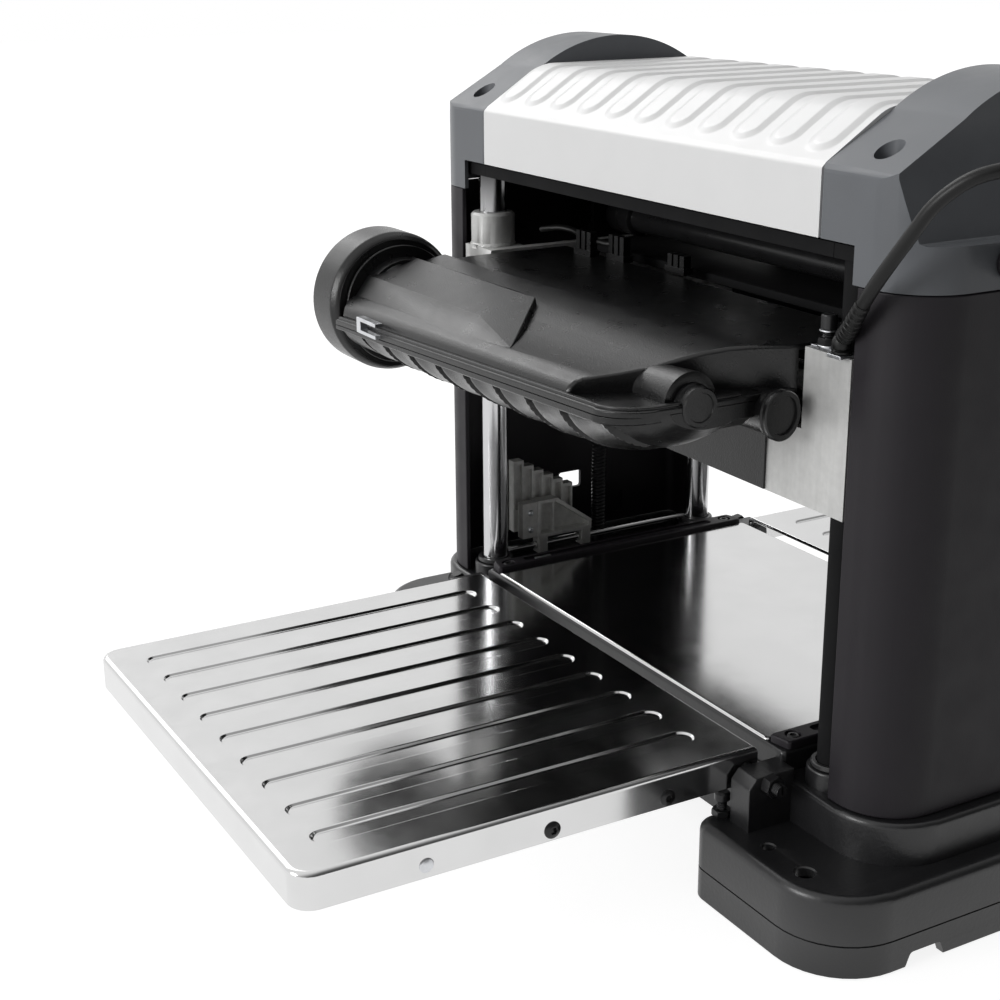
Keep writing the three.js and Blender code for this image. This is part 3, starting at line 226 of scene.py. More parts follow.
bare_color = (0.3, 0.3, 0.3)
slot_looks = {
    "black_casting": dict(color=(0.013, 0.013, 0.014), roughness=0.33, mottle=0.12, grain=0.35,
                          grain_scale=420, grain_depth=0.0003, worn=0.2),
    "cover_plastic": dict(color=(0.016, 0.014, 0.017), roughness=0.48, specular=0.22, mottle=0.08,
                          grain=0.25, grain_scale=1100),
    "cap_plastic": dict(color=(0.128, 0.135, 0.146), roughness=0.40, specular=0.35, mottle=0.05,
                        grain=0.25, grain_scale=1100),
    "hood_plastic": dict(color=(0.004, 0.004, 0.0043), roughness=0.30, specular=0.42, mottle=0.10,
                         grain=0.55, grain_scale=1000, grain_depth=0.0003),
    "switch_plastic": dict(color=(0.40, 0.012, 0.010), roughness=0.35, mottle=0.05, grain=0.1,
                           grain_scale=1200),
    "white_sheet": dict(color=(0.80, 0.80, 0.80), roughness=0.32, mottle=0.012, grain=0.08,
                        grain_scale=500),
    "cast_aluminium": dict(color=(0.60, 0.60, 0.59), roughness=0.48, metallic=0.55, mottle=0.05,
                           mottle_scale=220, grain=0.25, grain_scale=700, brush=(1, 1, 0.08),
                           brush_scale=900, brush_depth=0.00003, brush_tone=0.18),
    "die_casting": dict(color=(0.62, 0.62, 0.60), roughness=0.50, metallic=0.25, mottle=0.12,
                        mottle_scale=160, grain=0.5, grain_scale=500),
    "bright_steel": dict(color=(0.66, 0.66, 0.66), roughness=0.15, metallic=1.0, mottle=0.03,
                         rough_spread=0.04, brush=(0.03, 1, 1), brush_scale=700, brush_depth=0.000004),
    "ground_steel": dict(color=(0.60, 0.60, 0.60), roughness=0.14, metallic=1.0, mottle=0.04,
                         rough_spread=0.05, brush=(1, 1, 0.03), brush_scale=900),
    "black_steel": dict(color=(0.020, 0.020, 0.021), roughness=0.30, metallic=0.35, mottle=0.15,
                        grain=0.1, grain_scale=600),
    "zinc_plate": dict(color=(0.60, 0.61, 0.63), roughness=0.30, metallic=1.0, mottle=0.10,
                       mottle_scale=120, rough_spread=0.15),
    "bronze": dict(color=(0.46, 0.30, 0.12), roughness=0.34, metallic=1.0, mottle=0.12, rough_spread=0.15),
    "rubber": dict(color=(0.005, 0.005, 0.005), roughness=0.42, specular=0.28, mottle=0.1, grain=0.15,
                   grain_scale=800),
}
slot_materials = {slot: material(slot, **look) for slot, look in slot_looks.items()}
# nearly black paint for dark parts, also used as painted shade on the right rear column
dark_paint_and_shade = material("dark_paint_and_shade", (0.006, 0.006, 0.0065), 0.7, specular=0.12, mottle=0.15,
                      grain=0.2, grain_scale=600)
# steel for the columns, with painted shade that darkens their tops under the caps
column_steel_painted_shade = material("column_steel_painted_shade", (0.58, 0.58, 0.59), 0.16, metallic=1.0, mottle=0.04,
                        rough_spread=0.05, brush=(1, 1, 0.03), brush_scale=900, painted_shade_heights=(0.345, 0.385))

# The record gives each node its body and its slot; a few nodes take another metal for their look
node_bodies = {node: body for body, members in frame["record"]["behaviour"]["bodies"].items()
               for node in members}
node_slots = {part["node"]: part["material_slot"] for part in frame["record"]["subparts"]}
ground_nodes = ("rear_left_column", "rear_right_column", "front_left_column", "front_right_column",
                "stop_rod", "knife_1", "knife_2", "knife_3")
plated_nodes = ("motor_rotor", "feed_chain", "outfeed_sprocket", "infeed_sprocket", "cutter_pulley")
node_slots.update(dict.fromkeys(ground_nodes, "ground_steel"))
node_slots.update(dict.fromkeys(plated_nodes, "zinc_plate"))


# Mesh tools, which work in millimetres
def filled(work, name="shape"):
    """A mesh with what a bmesh holds, which is freed."""
    mesh = bpy.data.meshes.new(name)
    work.to_mesh(mesh)
    work.free()
    return mesh


def mesh_from(points, faces, name="shape"):
    mesh = bpy.data.meshes.new(name)
    mesh.from_pydata([tuple(p) for p in points], [], [tuple(f) for f in faces])
    work = bmesh.new()
    work.from_mesh(mesh)
    bmesh.ops.recalc_face_normals(work, faces=work.faces)
    return filled(work, name)


def worked(mesh, add_modifiers):
    """A mesh with modifiers applied, which add_modifiers puts on a temporary object."""
    obj = bpy.data.objects.new("work", mesh)
    scene.collection.objects.link(obj)
    add_modifiers(obj)
    depsgraph = bpy.context.evaluated_depsgraph_get()
    result = bpy.data.meshes.new_from_object(obj.evaluated_get(depsgraph))
    bpy.data.objects.remove(obj)
    return result


def combined(mesh, others, operation):
    tools = []

    def add(obj):
        for other in others:
            tool = bpy.data.objects.new("tool", other)
            scene.collection.objects.link(tool)
            tools.append(tool)
            modifier = obj.modifiers.new("boolean", "BOOLEAN")
            modifier.operation = operation
            modifier.solver = "MANIFOLD"
            modifier.object = tool
    result = worked(mesh, add)
    for tool in tools:
        bpy.data.objects.remove(tool)
    return result


def joined(mesh, *others):
    return combined(mesh, others, "UNION")


def carved(mesh, *others):
    return combined(mesh, others, "DIFFERENCE")


def common(mesh, *others):
    return combined(mesh, others, "INTERSECT")


def bundled(*meshes):
    """Several closed bodies in one mesh, side by side."""
    work = bmesh.new()
    for mesh in meshes:
        work.from_mesh(mesh)
    return filled(work)


def cleaned(mesh, merge=0.01):
    work = bmesh.new()
    work.from_mesh(mesh)
    bmesh.ops.remove_doubles(work, verts=work.verts, dist=merge)
    bmesh.ops.dissolve_limit(work, angle_limit=math.radians(0.4), verts=work.verts, edges=work.edges)
    return filled(work)


def softened(mesh, width, segments=3, angle=32):
    def add(obj):
        bevel = obj.modifiers.new("bevel", "BEVEL")
        bevel.width = width
        bevel.segments = segments
        bevel.limit_method = "ANGLE"
        bevel.angle_limit = math.radians(angle)
        bevel.miter_outer = "MITER_ARC"
    return worked(mesh, add)


def shaded(mesh, angle=32, weighted=True):
    for polygon in mesh.polygons:
        polygon.use_smooth = True
    mesh.set_sharp_from_angle(angle=math.radians(angle))
    if not weighted:
        return mesh

    def add(obj):
        normals = obj.modifiers.new("normals", "WEIGHTED_NORMAL")
        normals.keep_sharp = True
        normals.weight = 80
    return worked(mesh, add)


sides = ((-1, "left"), (1, "right"))
rows = ((-1, "rear"), (1, "front"))


def between(side, first, last):
    """Two places on one side of the middle, the lower one first."""
    return sorted((side * first, side * last))


def at_axis(axis, u, v, w):
    """A point with w along the axis and u, v across it, in X, Y, Z order."""
    return {"x": (w, u, v), "y": (u, w, v), "z": (u, v, w)}[axis]


def arc(u, v, r, start, end, steps=8):
    """Points of an arc, with its angles in degrees."""
    return [(u + r * math.cos(math.radians(start + (end - start) * i / steps)),
             v + r * math.sin(math.radians(start + (end - start) * i / steps)))
            for i in range(steps + 1)]


def rounded(points, radii, steps=6):
    """An outline whose corners become arcs; a radius of 0 keeps a corner."""
    if not isinstance(radii, (list, tuple)):
        radii = [radii] * len(points)
    result = []
    for i, (point, r) in enumerate(zip(points, radii)):
        corner = Vector(point)
        if r <= 0:
            result.append(tuple(corner))
            continue
        before = (Vector(points[i - 1]) - corner).normalized()
        after = (Vector(points[(i + 1) % len(points)]) - corner).normalized()
        half = before.angle(after) / 2
        centre = corner + (before + after).normalized() * (r / math.sin(half))
        first = corner + before * (r / math.tan(half)) - centre
        last = corner + after * (r / math.tan(half)) - centre
        start = math.atan2(first.y, first.x)
        turn = (math.atan2(last.y, last.x) - start + math.pi) % (2 * math.pi) - math.pi
        for k in range(steps + 1):
            angle = start + turn * k / steps
            result.append((centre.x + r * math.cos(angle), centre.y + r * math.sin(angle)))
    return result


def rect(u0, u1, v0, v1, radii, steps=6):
    """A rectangle with rounded corners, anticlockwise from the low one."""
    if not isinstance(radii, (list, tuple)):
        radii = [radii] * 4
    return rounded([(u0, v0), (u1, v0), (u1, v1), (u0, v1)], [max(r, 0.05) for r in radii], steps)


def loft(rings):
    """A closed skin through rings with the same number of points."""
    count = len(rings[0])
    points = [point for ring in rings for point in ring]
    faces = [tuple(range(count)), tuple(range(len(points) - count, len(points)))]
    for base in range(0, len(points) - count, count):
        for i in range(count):
            j = (i + 1) % count
            faces.append((base + i, base + j, base + count + j, base + count + i))
    return mesh_from(points, faces)


def prism(axis, points, low, high):
    return loft([[at_axis(axis, u, v, w) for u, v in points] for w in (low, high)])


def box(x0, x1, y0, y1, z0, z1):
    return prism("z", [(x0, y0), (x1, y0), (x1, y1), (x0, y1)], z0, z1)


def slab(axis, ring, low, high, top=0.0, bottom=0.0, steps=4):
    """An extruded outline with rounded long edges; ring(inset) gives the outline drawn in."""
    turns = [math.pi / 2 * k / steps for k in range(steps + 1)]
    levels = [(0.0, low)]
    if bottom:
        levels = [(bottom * (1 - math.sin(t)), low + bottom * (1 - math.cos(t))) for t in turns]
    if top:
        levels += [(top * (1 - math.cos(t)), high - top * (1 - math.sin(t))) for t in turns]
    else:
        levels.append((0.0, high))
    return loft([[at_axis(axis, u, v, w) for u, v in ring(inset)] for inset, w in levels])


def pad(axis, u, v, half_u, half_v, r, low, high, **edges):
    """A slab about a centre, whose outline is a rectangle with rounded corners."""
    return slab(axis, lambda d: rect(u - half_u + d, u + half_u - d, v - half_v + d, v + half_v - d, r),
                low, high, **edges)


def lathe(axis, profile, u, v, sides=48, closed=False):
    """A turned body from (place along the axis, radius) pairs; closed makes a ring of it."""
    points, faces, rings = [], [], []
    for w, r in profile:
        if r < 1e-6:
            rings.append([len(points)])
            points.append(at_axis(axis, u, v, w))
            continue
        rings.append(list(range(len(points), len(points) + sides)))
        for k in range(sides):
            angle = 2 * math.pi * k / sides
            points.append(at_axis(axis, u + r * math.cos(angle), v + r * math.sin(angle), w))
    pairs = list(zip(rings, rings[1:] + rings[:1])) if closed else list(zip(rings, rings[1:]))
    for first, second in pairs:
        for k in range(sides):
            a, b = first[k % len(first)], first[(k + 1) % len(first)]
            c, d = second[(k + 1) % len(second)], second[k % len(second)]
            face = [a]
            for corner in (b, c, d):
                if corner not in face:
                    face.append(corner)
            if len(face) > 2:
                faces.append(tuple(face))
    if not closed:
        for ring in (rings[0], rings[-1]):
            if len(ring) > 1:
                faces.append(tuple(ring))
    return mesh_from(points, faces)


def rod(axis, r, low, high, u, v, edge=0.4, sides=40):
    """A round bar with softly broken ends."""
    edge = min(edge, r * 0.4, (high - low) * 0.3)
    turns = [math.pi / 2 * k / 3 for k in range(4)]
    profile = [(low + edge * (1 - math.sin(t)), r - edge * (1 - math.cos(t))) for t in turns[::-1]]
    profile += [(high - edge * (1 - math.sin(t)), r - edge * (1 - math.cos(t))) for t in turns]
    return lathe(axis, profile, u, v, sides)


def drill(axis, r, low, high, u, v, sides=40):
    return lathe(axis, [(low, r), (high, r)], u, v, sides)


def pipe(axis, r, bore, low, high, u, v, edge=0.4, sides=40):
    return lathe(axis, [
        (low, bore + edge), (low, r - edge), (low + edge, r), (high - edge, r), (high, r - edge),
        (high, bore + edge), (high - edge, bore), (low + edge, bore),
    ], u, v, sides, closed=True)


def hexagon(axis, r, low, high, u, v, turn=0.0, bore=0.0):
    """A hexagon nut or head with turned-off corners; r is half its width over the corners."""
    corners = arc(u, v, r, turn, turn + 300, 5)
    cone = lathe(axis, [(low, r * 0.86), (low + r * 0.12, r * 1.02), (high - r * 0.12, r * 1.02),
                        (high, r * 0.86)], u, v, 48)
    body = common(prism(axis, corners, low, high), cone)
    if bore:
        body = carved(body, drill(axis, bore, low - 1, high + 1, u, v))
    return softened(body, 0.2, 2)


def threaded(axis, r, low, high, u, v, pitch=1.5, depth=0.6, sides=20, steps=4):
    """A screw thread as one skin, whose ridge climbs by the pitch in each turn."""
    rows = max(2, int((high - low) / pitch * steps))
    rings = []
    for i in range(rows + 1):
        w = low + (high - low) * i / rows
        ring = []
        for k in range(sides):
            share = (w / pitch - k / sides) % 1.0
            radius = r - depth * abs(2 * share - 1)
            angle = 2 * math.pi * k / sides
            ring.append(at_axis(axis, u + radius * math.cos(angle), v + radius * math.sin(angle), w))
        rings.append(ring)
    return loft(rings)


def hull(points):
    """The tightest convex body round some points."""
    work = bmesh.new()
    for point in points:
        work.verts.new(point)
    made = bmesh.ops.convex_hull(work, input=work.verts)
    spare = [item for item in made["geom_interior"] + made["geom_unused"]
             if isinstance(item, bmesh.types.BMVert)]
    bmesh.ops.delete(work, geom=spare, context="VERTS")
    bmesh.ops.recalc_face_normals(work, faces=work.faces)
    return filled(work)


def place(name, mesh, body, slot, replaces=(), look=None, lift=0):
    mesh.transform(Matrix.Translation((0, 0, lift * mm)) @ Matrix.Scale(mm, 4))
    obj = bpy.data.objects.new(name, mesh)
    scene.collection.objects.link(obj)
    obj.data.materials.clear()
    obj.data.materials.append(look or slot_materials[slot])
    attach(obj, body)
    if replaces:
        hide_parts(*replaces)
    return obj


detailed = {"motor_lead"}


def extra(name, mesh, node, slot, angle=32, look=None, replaces=()):
    """A piece that rides with a node; on the carriage it is drawn from the carriage's underside."""
    body = node_bodies[node]
    lift = carriage_z if body == "carriage" else 0
    return place(name, shaded(mesh, angle), body, slot, replaces, look, lift)


def finish(node, mesh, width=0.5, angle=32, segments=3, look=None):
    """A node's own detailed shape, with softened edges, in place of its solid."""
    if width:
        mesh = softened(cleaned(mesh), width, segments, angle)
    detailed.add(node)
    return extra(f"{node}_shape", mesh, node, node_slots[node], angle, look, [node])


# Camera, lights, floor and sky
def make_camera():
    data = bpy.data.cameras.new("camera")
    data.lens = camera_lens
    data.sensor_width = 36.0
    obj = bpy.data.objects.new("camera", data)
    scene.collection.objects.link(obj)
    turn = (Matrix.Rotation(camera_yaw, 4, "Z")
            @ Matrix.Rotation(math.pi / 2 - camera_pitch, 4, "X")
            @ Matrix.Rotation(camera_roll, 4, "Z"))
    obj.matrix_world = Matrix.Translation(camera_place) @ turn
    scene.camera = obj


def make_sun(name, way, strength, angle):
    """A soft distant lamp that shines from the direction way."""
    data = bpy.data.lights.new(name, "SUN")
    data.energy = strength
    data.angle = math.radians(angle)
    obj = bpy.data.objects.new(name, data)
    scene.collection.objects.link(obj)
    obj.matrix_world = Vector(way).to_track_quat("Z", "Y").to_matrix().to_4x4()


def maths(add, operation, first, second=0.0):
    return add("Math", {0: first, 1: second}, operation=operation)


def make_sky():
    """A sky that looks white, and whose light is weaker on one side."""
    world = bpy.data.worlds.new("studio")
    world.use_nodes = True
    scene.world = world
    background = world.node_tree.nodes["Background"].inputs
    add = node_adder(world.node_tree)
    way = add("VectorMath", {0: add("TexCoord", {}, "Generated"), 1: sky_way}, "Value",
              operation="DOT_PRODUCT")

    def ramp(low, high):
        return add("MapRange", {"From Min": -0.55, "From Max": 0.65, "To Min": low, "To Max": high,
                                "Value": way}, "Result", interpolation_type="SMOOTHSTEP")

    def pick(share, first, second):
        return add("Mix", {"Factor": share, "A": first, "B": second}, "Result")

    lit = pick(add("LightPath", {}, "Is Glossy Ray"), ramp(sky_weak, sky_strong), ramp(shine_weak, 1.0))
    seen = maths(add, "MAXIMUM", add("LightPath", {}, "Is Camera Ray"),
                 add("LightPath", {}, "Is Transmission Ray"))
    background["Color"].default_value = (1, 1, 1, 1)
    world.node_tree.links.new(pick(seen, lit, 1.0), background["Strength"])


def make_floor():
    """Pale paper that glows where it is seen, but not inside the hollow feet."""
    reach = 9
    corners = [(-reach, -reach, 0), (reach, -reach, 0), (reach, reach, 0), (-reach, reach, 0)]
    floor = bpy.data.objects.new("floor", mesh_from(corners, [(0, 1, 2, 3)], "floor"))
    scene.collection.objects.link(floor)
    floor.location.z = -0.0005
    look = bpy.data.materials.new("floor_paper")
    look.use_nodes = True
    nodes = look.node_tree.nodes
    nodes.remove(nodes["Principled BSDF"])
    add = node_adder(look.node_tree)
    paper = add("BsdfDiffuse", {"Color": (floor_tone, floor_tone, floor_tone, 1)})
    seen = maths(add, "MAXIMUM", add("LightPath", {}, "Is Camera Ray"),
                 add("LightPath", {}, "Is Glossy Ray"))
    spot = add("TexCoord", {}, "Object")
    from_middle = maths(add, "ABSOLUTE", add("SeparateXYZ", {"Vector": spot}, "X"))
    from_foot = maths(add, "ABSOLUTE", maths(add, "SUBTRACT", from_middle, foot_shade_x[0]))
    along = maths(add, "ABSOLUTE", add("SeparateXYZ", {"Vector": spot}, "Y"))
    outside = maths(add, "MAXIMUM", maths(add, "GREATER_THAN", from_foot, foot_shade_x[1]),
                    maths(add, "GREATER_THAN", along, foot_shade_y))
    glow = maths(add, "MULTIPLY", maths(add, "MULTIPLY", seen, floor_glow), outside)
    total = add("AddShader", {0: paper, 1: add("Emission", {"Strength": glow})})
    look.node_tree.links.new(total, nodes["Material Output"].inputs["Surface"])
    floor.data.materials.append(look)


make_camera()
make_sky()
make_floor()
make_sun("key", key_way, key_strength, key_angle)
make_sun("fill", fill_way, fill_strength, fill_angle)
make_sun("shine", shine_way, shine_strength, shine_angle)
scene.view_settings.view_transform = "Standard"


# Motor lead: a free cord from the elbow up and over to the gland
lead_points = [
    (211.8, -115, 103.7), (222, -119.8, 112), (233, -124, 123.5), (243.5, -126, 136),
    (253.4, -126, 148.5), (263, -125.5, 160.5), (271, -124.5, 171), (277, -123, 179.5),
    (285, -119, 188.5), (294, -112.5, 196), (303, -103, 200), (309.5, -91, 200.5),
    (312, -79, 195), (311, -68.5, 185), (307, -60.5, 172), (299.5, -55, 157.5),
    (289.5, -52.4, 147.4), (279, -52, 145.5),
]
lead_r = 3.75
relief_length = 34


def smooth_path(points, per_span):
    """Points of a Catmull-Rom curve, spaced by the square root of each span."""
    knots = [Vector(p) for p in points]
    ends = [2 * knots[0] - knots[1]] + knots + [2 * knots[-1] - knots[-2]]
    path = []
    for i in range(1, len(ends) - 2):
        a, b, c, d = ends[i - 1:i + 3]
        ab, bc, cd = ((b - a).length ** 0.5, (c - b).length ** 0.5, (d - c).length ** 0.5)
        m1 = (c - b) + bc * ((b - a) / ab - (c - a) / (ab + bc))
        m2 = (c - b) + bc * ((d - c) / cd - (d - b) / (bc + cd))
        for k in range(per_span):
            t = k / per_span
            path.append(b * (2 * t ** 3 - 3 * t ** 2 + 1) + m1 * (t ** 3 - 2 * t ** 2 + t)
                        + c * (3 * t ** 2 - 2 * t ** 3) + m2 * (t ** 3 - t ** 2))
    path.append(knots[-1])
    return path


def swept(path, radius, sides=16):
    """A round tube along a path; radius is a number or a function of the path's fraction."""
    size = radius if callable(radius) else (lambda t: radius)
    turns = [2 * math.pi * k / sides for k in range(sides)]
    last = len(path) - 1
    side = (path[1] - path[0]).normalized().orthogonal().normalized()
    rings = []
    for i, centre in enumerate(path):
        tangent = (path[min(i + 1, last)] - path[max(i - 1, 0)]).normalized()
        side = (side - tangent * side.dot(tangent)).normalized()
        other = tangent.cross(side)
        r = size(i / last)
        rings.append([centre + side * math.cos(t) * r + other * math.sin(t) * r for t in turns])
    return loft(rings)


def relief(path, length, thick, thin):
    """A ribbed sleeve that tapers along the start of a finely divided path."""
    rib_pitch, rib_rise, run, count = 4.2, 0.5, 0.0, 1
    while run < length:
        run += (path[count] - path[count - 1]).length
        count += 1
    ribs = length / rib_pitch

    def radius(t):
        rib = rib_rise if 0.12 < (t * ribs) % 1.0 < 0.72 else 0.0
        return thick + (thin - thick) * t + rib * (1 - 0.6 * t)

    return shaded(swept(path[:count], radius, 28), 40, weighted=False)


def make_lead():
    knots = [(x, y, z + carriage_z) for x, y, z in lead_points]
    fine = smooth_path(knots, 48)
    for name, along, thick in (("lower", fine, 4.7), ("upper", fine[::-1], 5.6)):
        sleeve = relief(along, relief_length, thick, lead_r + 0.25)
        place(f"motor_lead_relief_{name}", sleeve, "carriage", "rubber")
    path = smooth_path(knots, 6)
    mesh = shaded(swept(path, lead_r, 20), 40, weighted=False)
    lead = place("motor_lead_cord", mesh, "carriage", "rubber", ["motor_lead"])
    route = [tuple(p * mm) for p in path]
    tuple(route[0])


make_lead()


# Base: hollow feet, the collar round the columns and the bed's support
def side_plan(side, inner, outer, half_depth, inner_r, rear_r, front_r, steps=10):
    """A plan on the left or right side of the machine, given by its inner and outer X."""
    low, high = between(side, inner, outer)
    radii = [inner_r, rear_r, front_r, inner_r] if side > 0 else [rear_r, inner_r, inner_r, front_r]
    return rect(low, high, -half_depth, half_depth, radii, steps)


def make_base():
    wall, half_depth, crease_z, notch_y = 6, collar_half_depth, 20, 94
    half, bed_outer = foot_inner - wall, bed_half + 17
    block_inner_x, block_outer_x, block_y = 172, 190, pivot_y + 14
    post_r, bolt_holes, bolt_hole_y = 16, ((241, 6), (208, 4)), 147
    parts = [box(-foot_inner - wall, foot_inner + wall, -half_depth, half_depth, 24, 75)]
    parts.append(slab("z", lambda d: rect(
        d - collar_half_width, collar_half_width - d, d - half_depth, half_depth - d,
        [42 - d, 42 - d, 16 - d, 16 - d], 12), ledge_z - wall, collar_top, top=3.5))
    parts.append(slab("z", lambda d: rect(
        d - bed_outer, bed_outer - d, d - half_depth + 1, half_depth - 1 - d, 3 - d / 2),
        collar_top - wall, bed_top - 2.3, top=2.5))
    for side in (-1, 1):
        parts.append(slab("z", lambda d: side_plan(
            side, foot_inner + d, foot_outer - d, foot_half_depth - d,
            foot_inner_r - d / 2, foot_corner - d, foot_corner - d), 0, ledge_z, top=5.5, bottom=1.2))
    tools = []
    for side in (-1, 1):
        tools.append(prism("z", side_plan(
            side, foot_inner + wall, foot_outer - wall, foot_half_depth - wall, wall,
            foot_corner - wall, foot_corner - wall), -1, ledge_z - wall))
        tools.append(prism("z", side_plan(
            side, foot_inner + wall, collar_half_width - wall, half_depth - wall, 1, 36, 10),
            ledge_z - wall - 1, collar_top - wall))
        # a shallow crease round the skirt of each foot, and two notches in its outer side
        outer, inner = (side_plan(side, foot_inner - out, foot_outer + out, foot_half_depth + out,
                                  foot_inner_r, foot_corner + more_r, foot_corner + more_r)
                        for out, more_r in ((2, 2), (-0.7, 0)))
        tools.append(carved(prism("z", outer, crease_z, crease_z + 1),
                            prism("z", inner, crease_z - 1, crease_z + 2)))
        for y in (-notch_y, notch_y):
            notch = rounded([(y - 15, -1), (y + 15, -1), (y + 11, 9), (y - 11, 9)], [0.1, 0.1, 3, 3])
            tools.append(prism("x", notch, *between(side, 270, 290)))
    tools.append(box(-half, half, wall - half_depth, half_depth - wall, 20, bed_top - 8.3))
    body = carved(joined(parts[0], *parts[1:]), *tools)
    adds, holes = [box(-foot_inner, foot_inner, -4, 4, 0.5, bed_top - 4)], []
    for sx in (-1, 1):
        for sy in (-1, 1):
            x0, x1 = between(sx, block_inner_x, block_outer_x)
            far, near = sy * block_y, sy * (half_depth - 2)
            block = prism("x", [(near, ledge_z - 2), (far, ledge_z - 2), (far, 78), (far - sy * 5, 84),
                                (near, 84)], x0, x1)
            post = sx * column_x, sy * column_y
            adds.append(softened(block, 1.0, 2))
            adds.append(rod("z", post_r, collar_top - 2, 87, *post, 1.6, 48))
            holes.append(drill("z", column_r + 0.3, collar_top, 90, *post, 48))
            holes.append(drill("x", 4.3, x0 - 3, x1 + 3, sy * pivot_y, pivot_z))
            for hole_x, r in bolt_holes:
                profile = [(40, r), (ledge_z - 1, r), (ledge_z - 0.2, r + 0.8), (ledge_z + 1, r + 0.8)]
                holes.append(lathe("z", profile, sx * hole_x, sy * bolt_hole_y))
    finish("base", carved(joined(body, *adds), *holes), 0, 34)


make_base()


# Feed tables: a pressed tray, whose grooves have sloping sides
def make_table(end):
    low = table_edge

    def plan(inset, near):
        corner = max(table_corner - inset, 1)
        return rect(inset - table_half, table_half - inset, near, low + table_length - inset,
                    [0.2, 0.2, corner, corner], 10)

    body = slab("z", lambda d: plan(d, low + d * 0.6), bed_top - table_rim, bed_top, top=3.6, bottom=0.5,
                steps=5)
    hollow = slab("z", lambda d: plan(table_sheet + d, low - 2), 60, bed_top - table_sheet, top=2.4)
    pockets, grooves = [], []
    for i in range(groove_count):
        x = (i - (groove_count - 1) / 2) * groove_pitch

        def stadium(r):
            far = arc(x, low + table_length - groove_end_gap - groove_r, r, 0, 180, 14)
            return far + arc(x, low + groove_end_gap + groove_r, r, 180, 360, 14)

        levels = [(1.0, 0.5), (1.0, 0.0), (0.5, -0.08), (0.15, -0.3), (-0.75, -1.3),
                  (-1.05, -1.55), (-1.5, -groove_depth)]
        grooves.append(loft([[(u, v, bed_top + z) for u, v in stadium(groove_r + out)]
                             for out, z in levels]))
        pockets.append(loft([[(u, v, z) for u, v in stadium(groove_r + 1)]
                             for z in (bed_top - groove_depth - table_sheet, bed_top)]))
    hollow = carved(hollow, *pockets)
    bolt_hole = drill("x", 4.35, -table_half - 3, table_half + 3, pivot_y, pivot_z)
    body = cleaned(carved(body, hollow, *grooves, bolt_hole))
    if end < 0:
        body.transform(Matrix.Diagonal((1, -1, 1, 1)))
        body.flip_normals()
    finish(("outfeed_table", "infeed_table")[end > 0], body, 0)


make_table(-1)
make_table(1)


# Column covers: deep channels with a large radius at the rear
def make_column_cover(side, name):
    low, high = collar_top + 0.3, cap_seam - 0.3
    w = cover_wall
    outer = slab("z", lambda d: side_plan(
        side, cover_inner + d, cover_outer - d, cover_half_depth - d, 1,
        cover_corner - d, 10 - d, 16), low, high, top=0.8, bottom=0.8, steps=3)
    tools = [prism("z", side_plan(side, cover_inner - 5, cover_outer - w, cover_half_depth - w, 1,
                                  cover_corner - w, 10 - w, 16), low - 1, high + 1)]
    if side < 0:
        outside, inside, recess = -cover_outer - 4, -cover_outer + w + 2, 0.9
        tools.append(prism("x", rect(-3, 18, 113, 127, 2), outside, inside))
        tools.append(prism("x", rect(39, 60, 84, 103, 2), -cover_outer + recess, inside))
        tools.append(drill("x", 9, outside, inside, screw_y, crank_z))
        tools.append(drill("y", 6.3, cover_half_depth - w - 2, cover_half_depth + 2, switch_x, breaker_z))
    finish(f"{name}_column_cover", carved(outer, *tools), 0.5, 50, 2)


for side, name in sides:
    make_column_cover(side, name)


# Caps: rounded plan, a step on the outer side, and an arch between two shoulders
def arch_outline(inset, low):
    half = cover_half_depth - inset
    shoulder = cap_shoulder - inset
    start = math.degrees(math.acos(arch_tangent / arch_r))
    crown = arc(0, arch_centre, arch_r - inset, start, 180 - start, 40)
    edge = half - 3
    flange = [(half, shoulder - 2), (half - 0.4, shoulder - 0.2), (edge + 0.6, shoulder + 2.6)]
    left = [(-y, z) for y, z in flange[::-1]]
    return [(-half, low), (half, low)] + flange + crown + left


def cap_side(side, inset):
    """What the outer side leaves free above its step, from where it leans inwards."""
    low = cap_step_z - inset
    top = arch_centre + arch_r + 3

    def at(depth):
        return side * (cover_outer - depth - inset)

    points = [(side * (cover_outer + 5), low), (at(9), low), (at(11.5), low + 1.2), (at(22), cap_shoulder),
              (at(24), top), (side * (cover_outer + 5), top)]
    return prism("y", points, -cover_half_depth - 3, cover_half_depth + 3)


def socket_screw(profile, socket_r, low, high, u, v, edge, sides=48, tip=None):
    """An upright screw head with a hexagon socket from low to high."""
    head = lathe("z", profile, u, v, sides)
    head = joined(head, tip) if tip else head
    return softened(carved(head, hexagon("z", socket_r, low, high, u, v)), edge, 2)


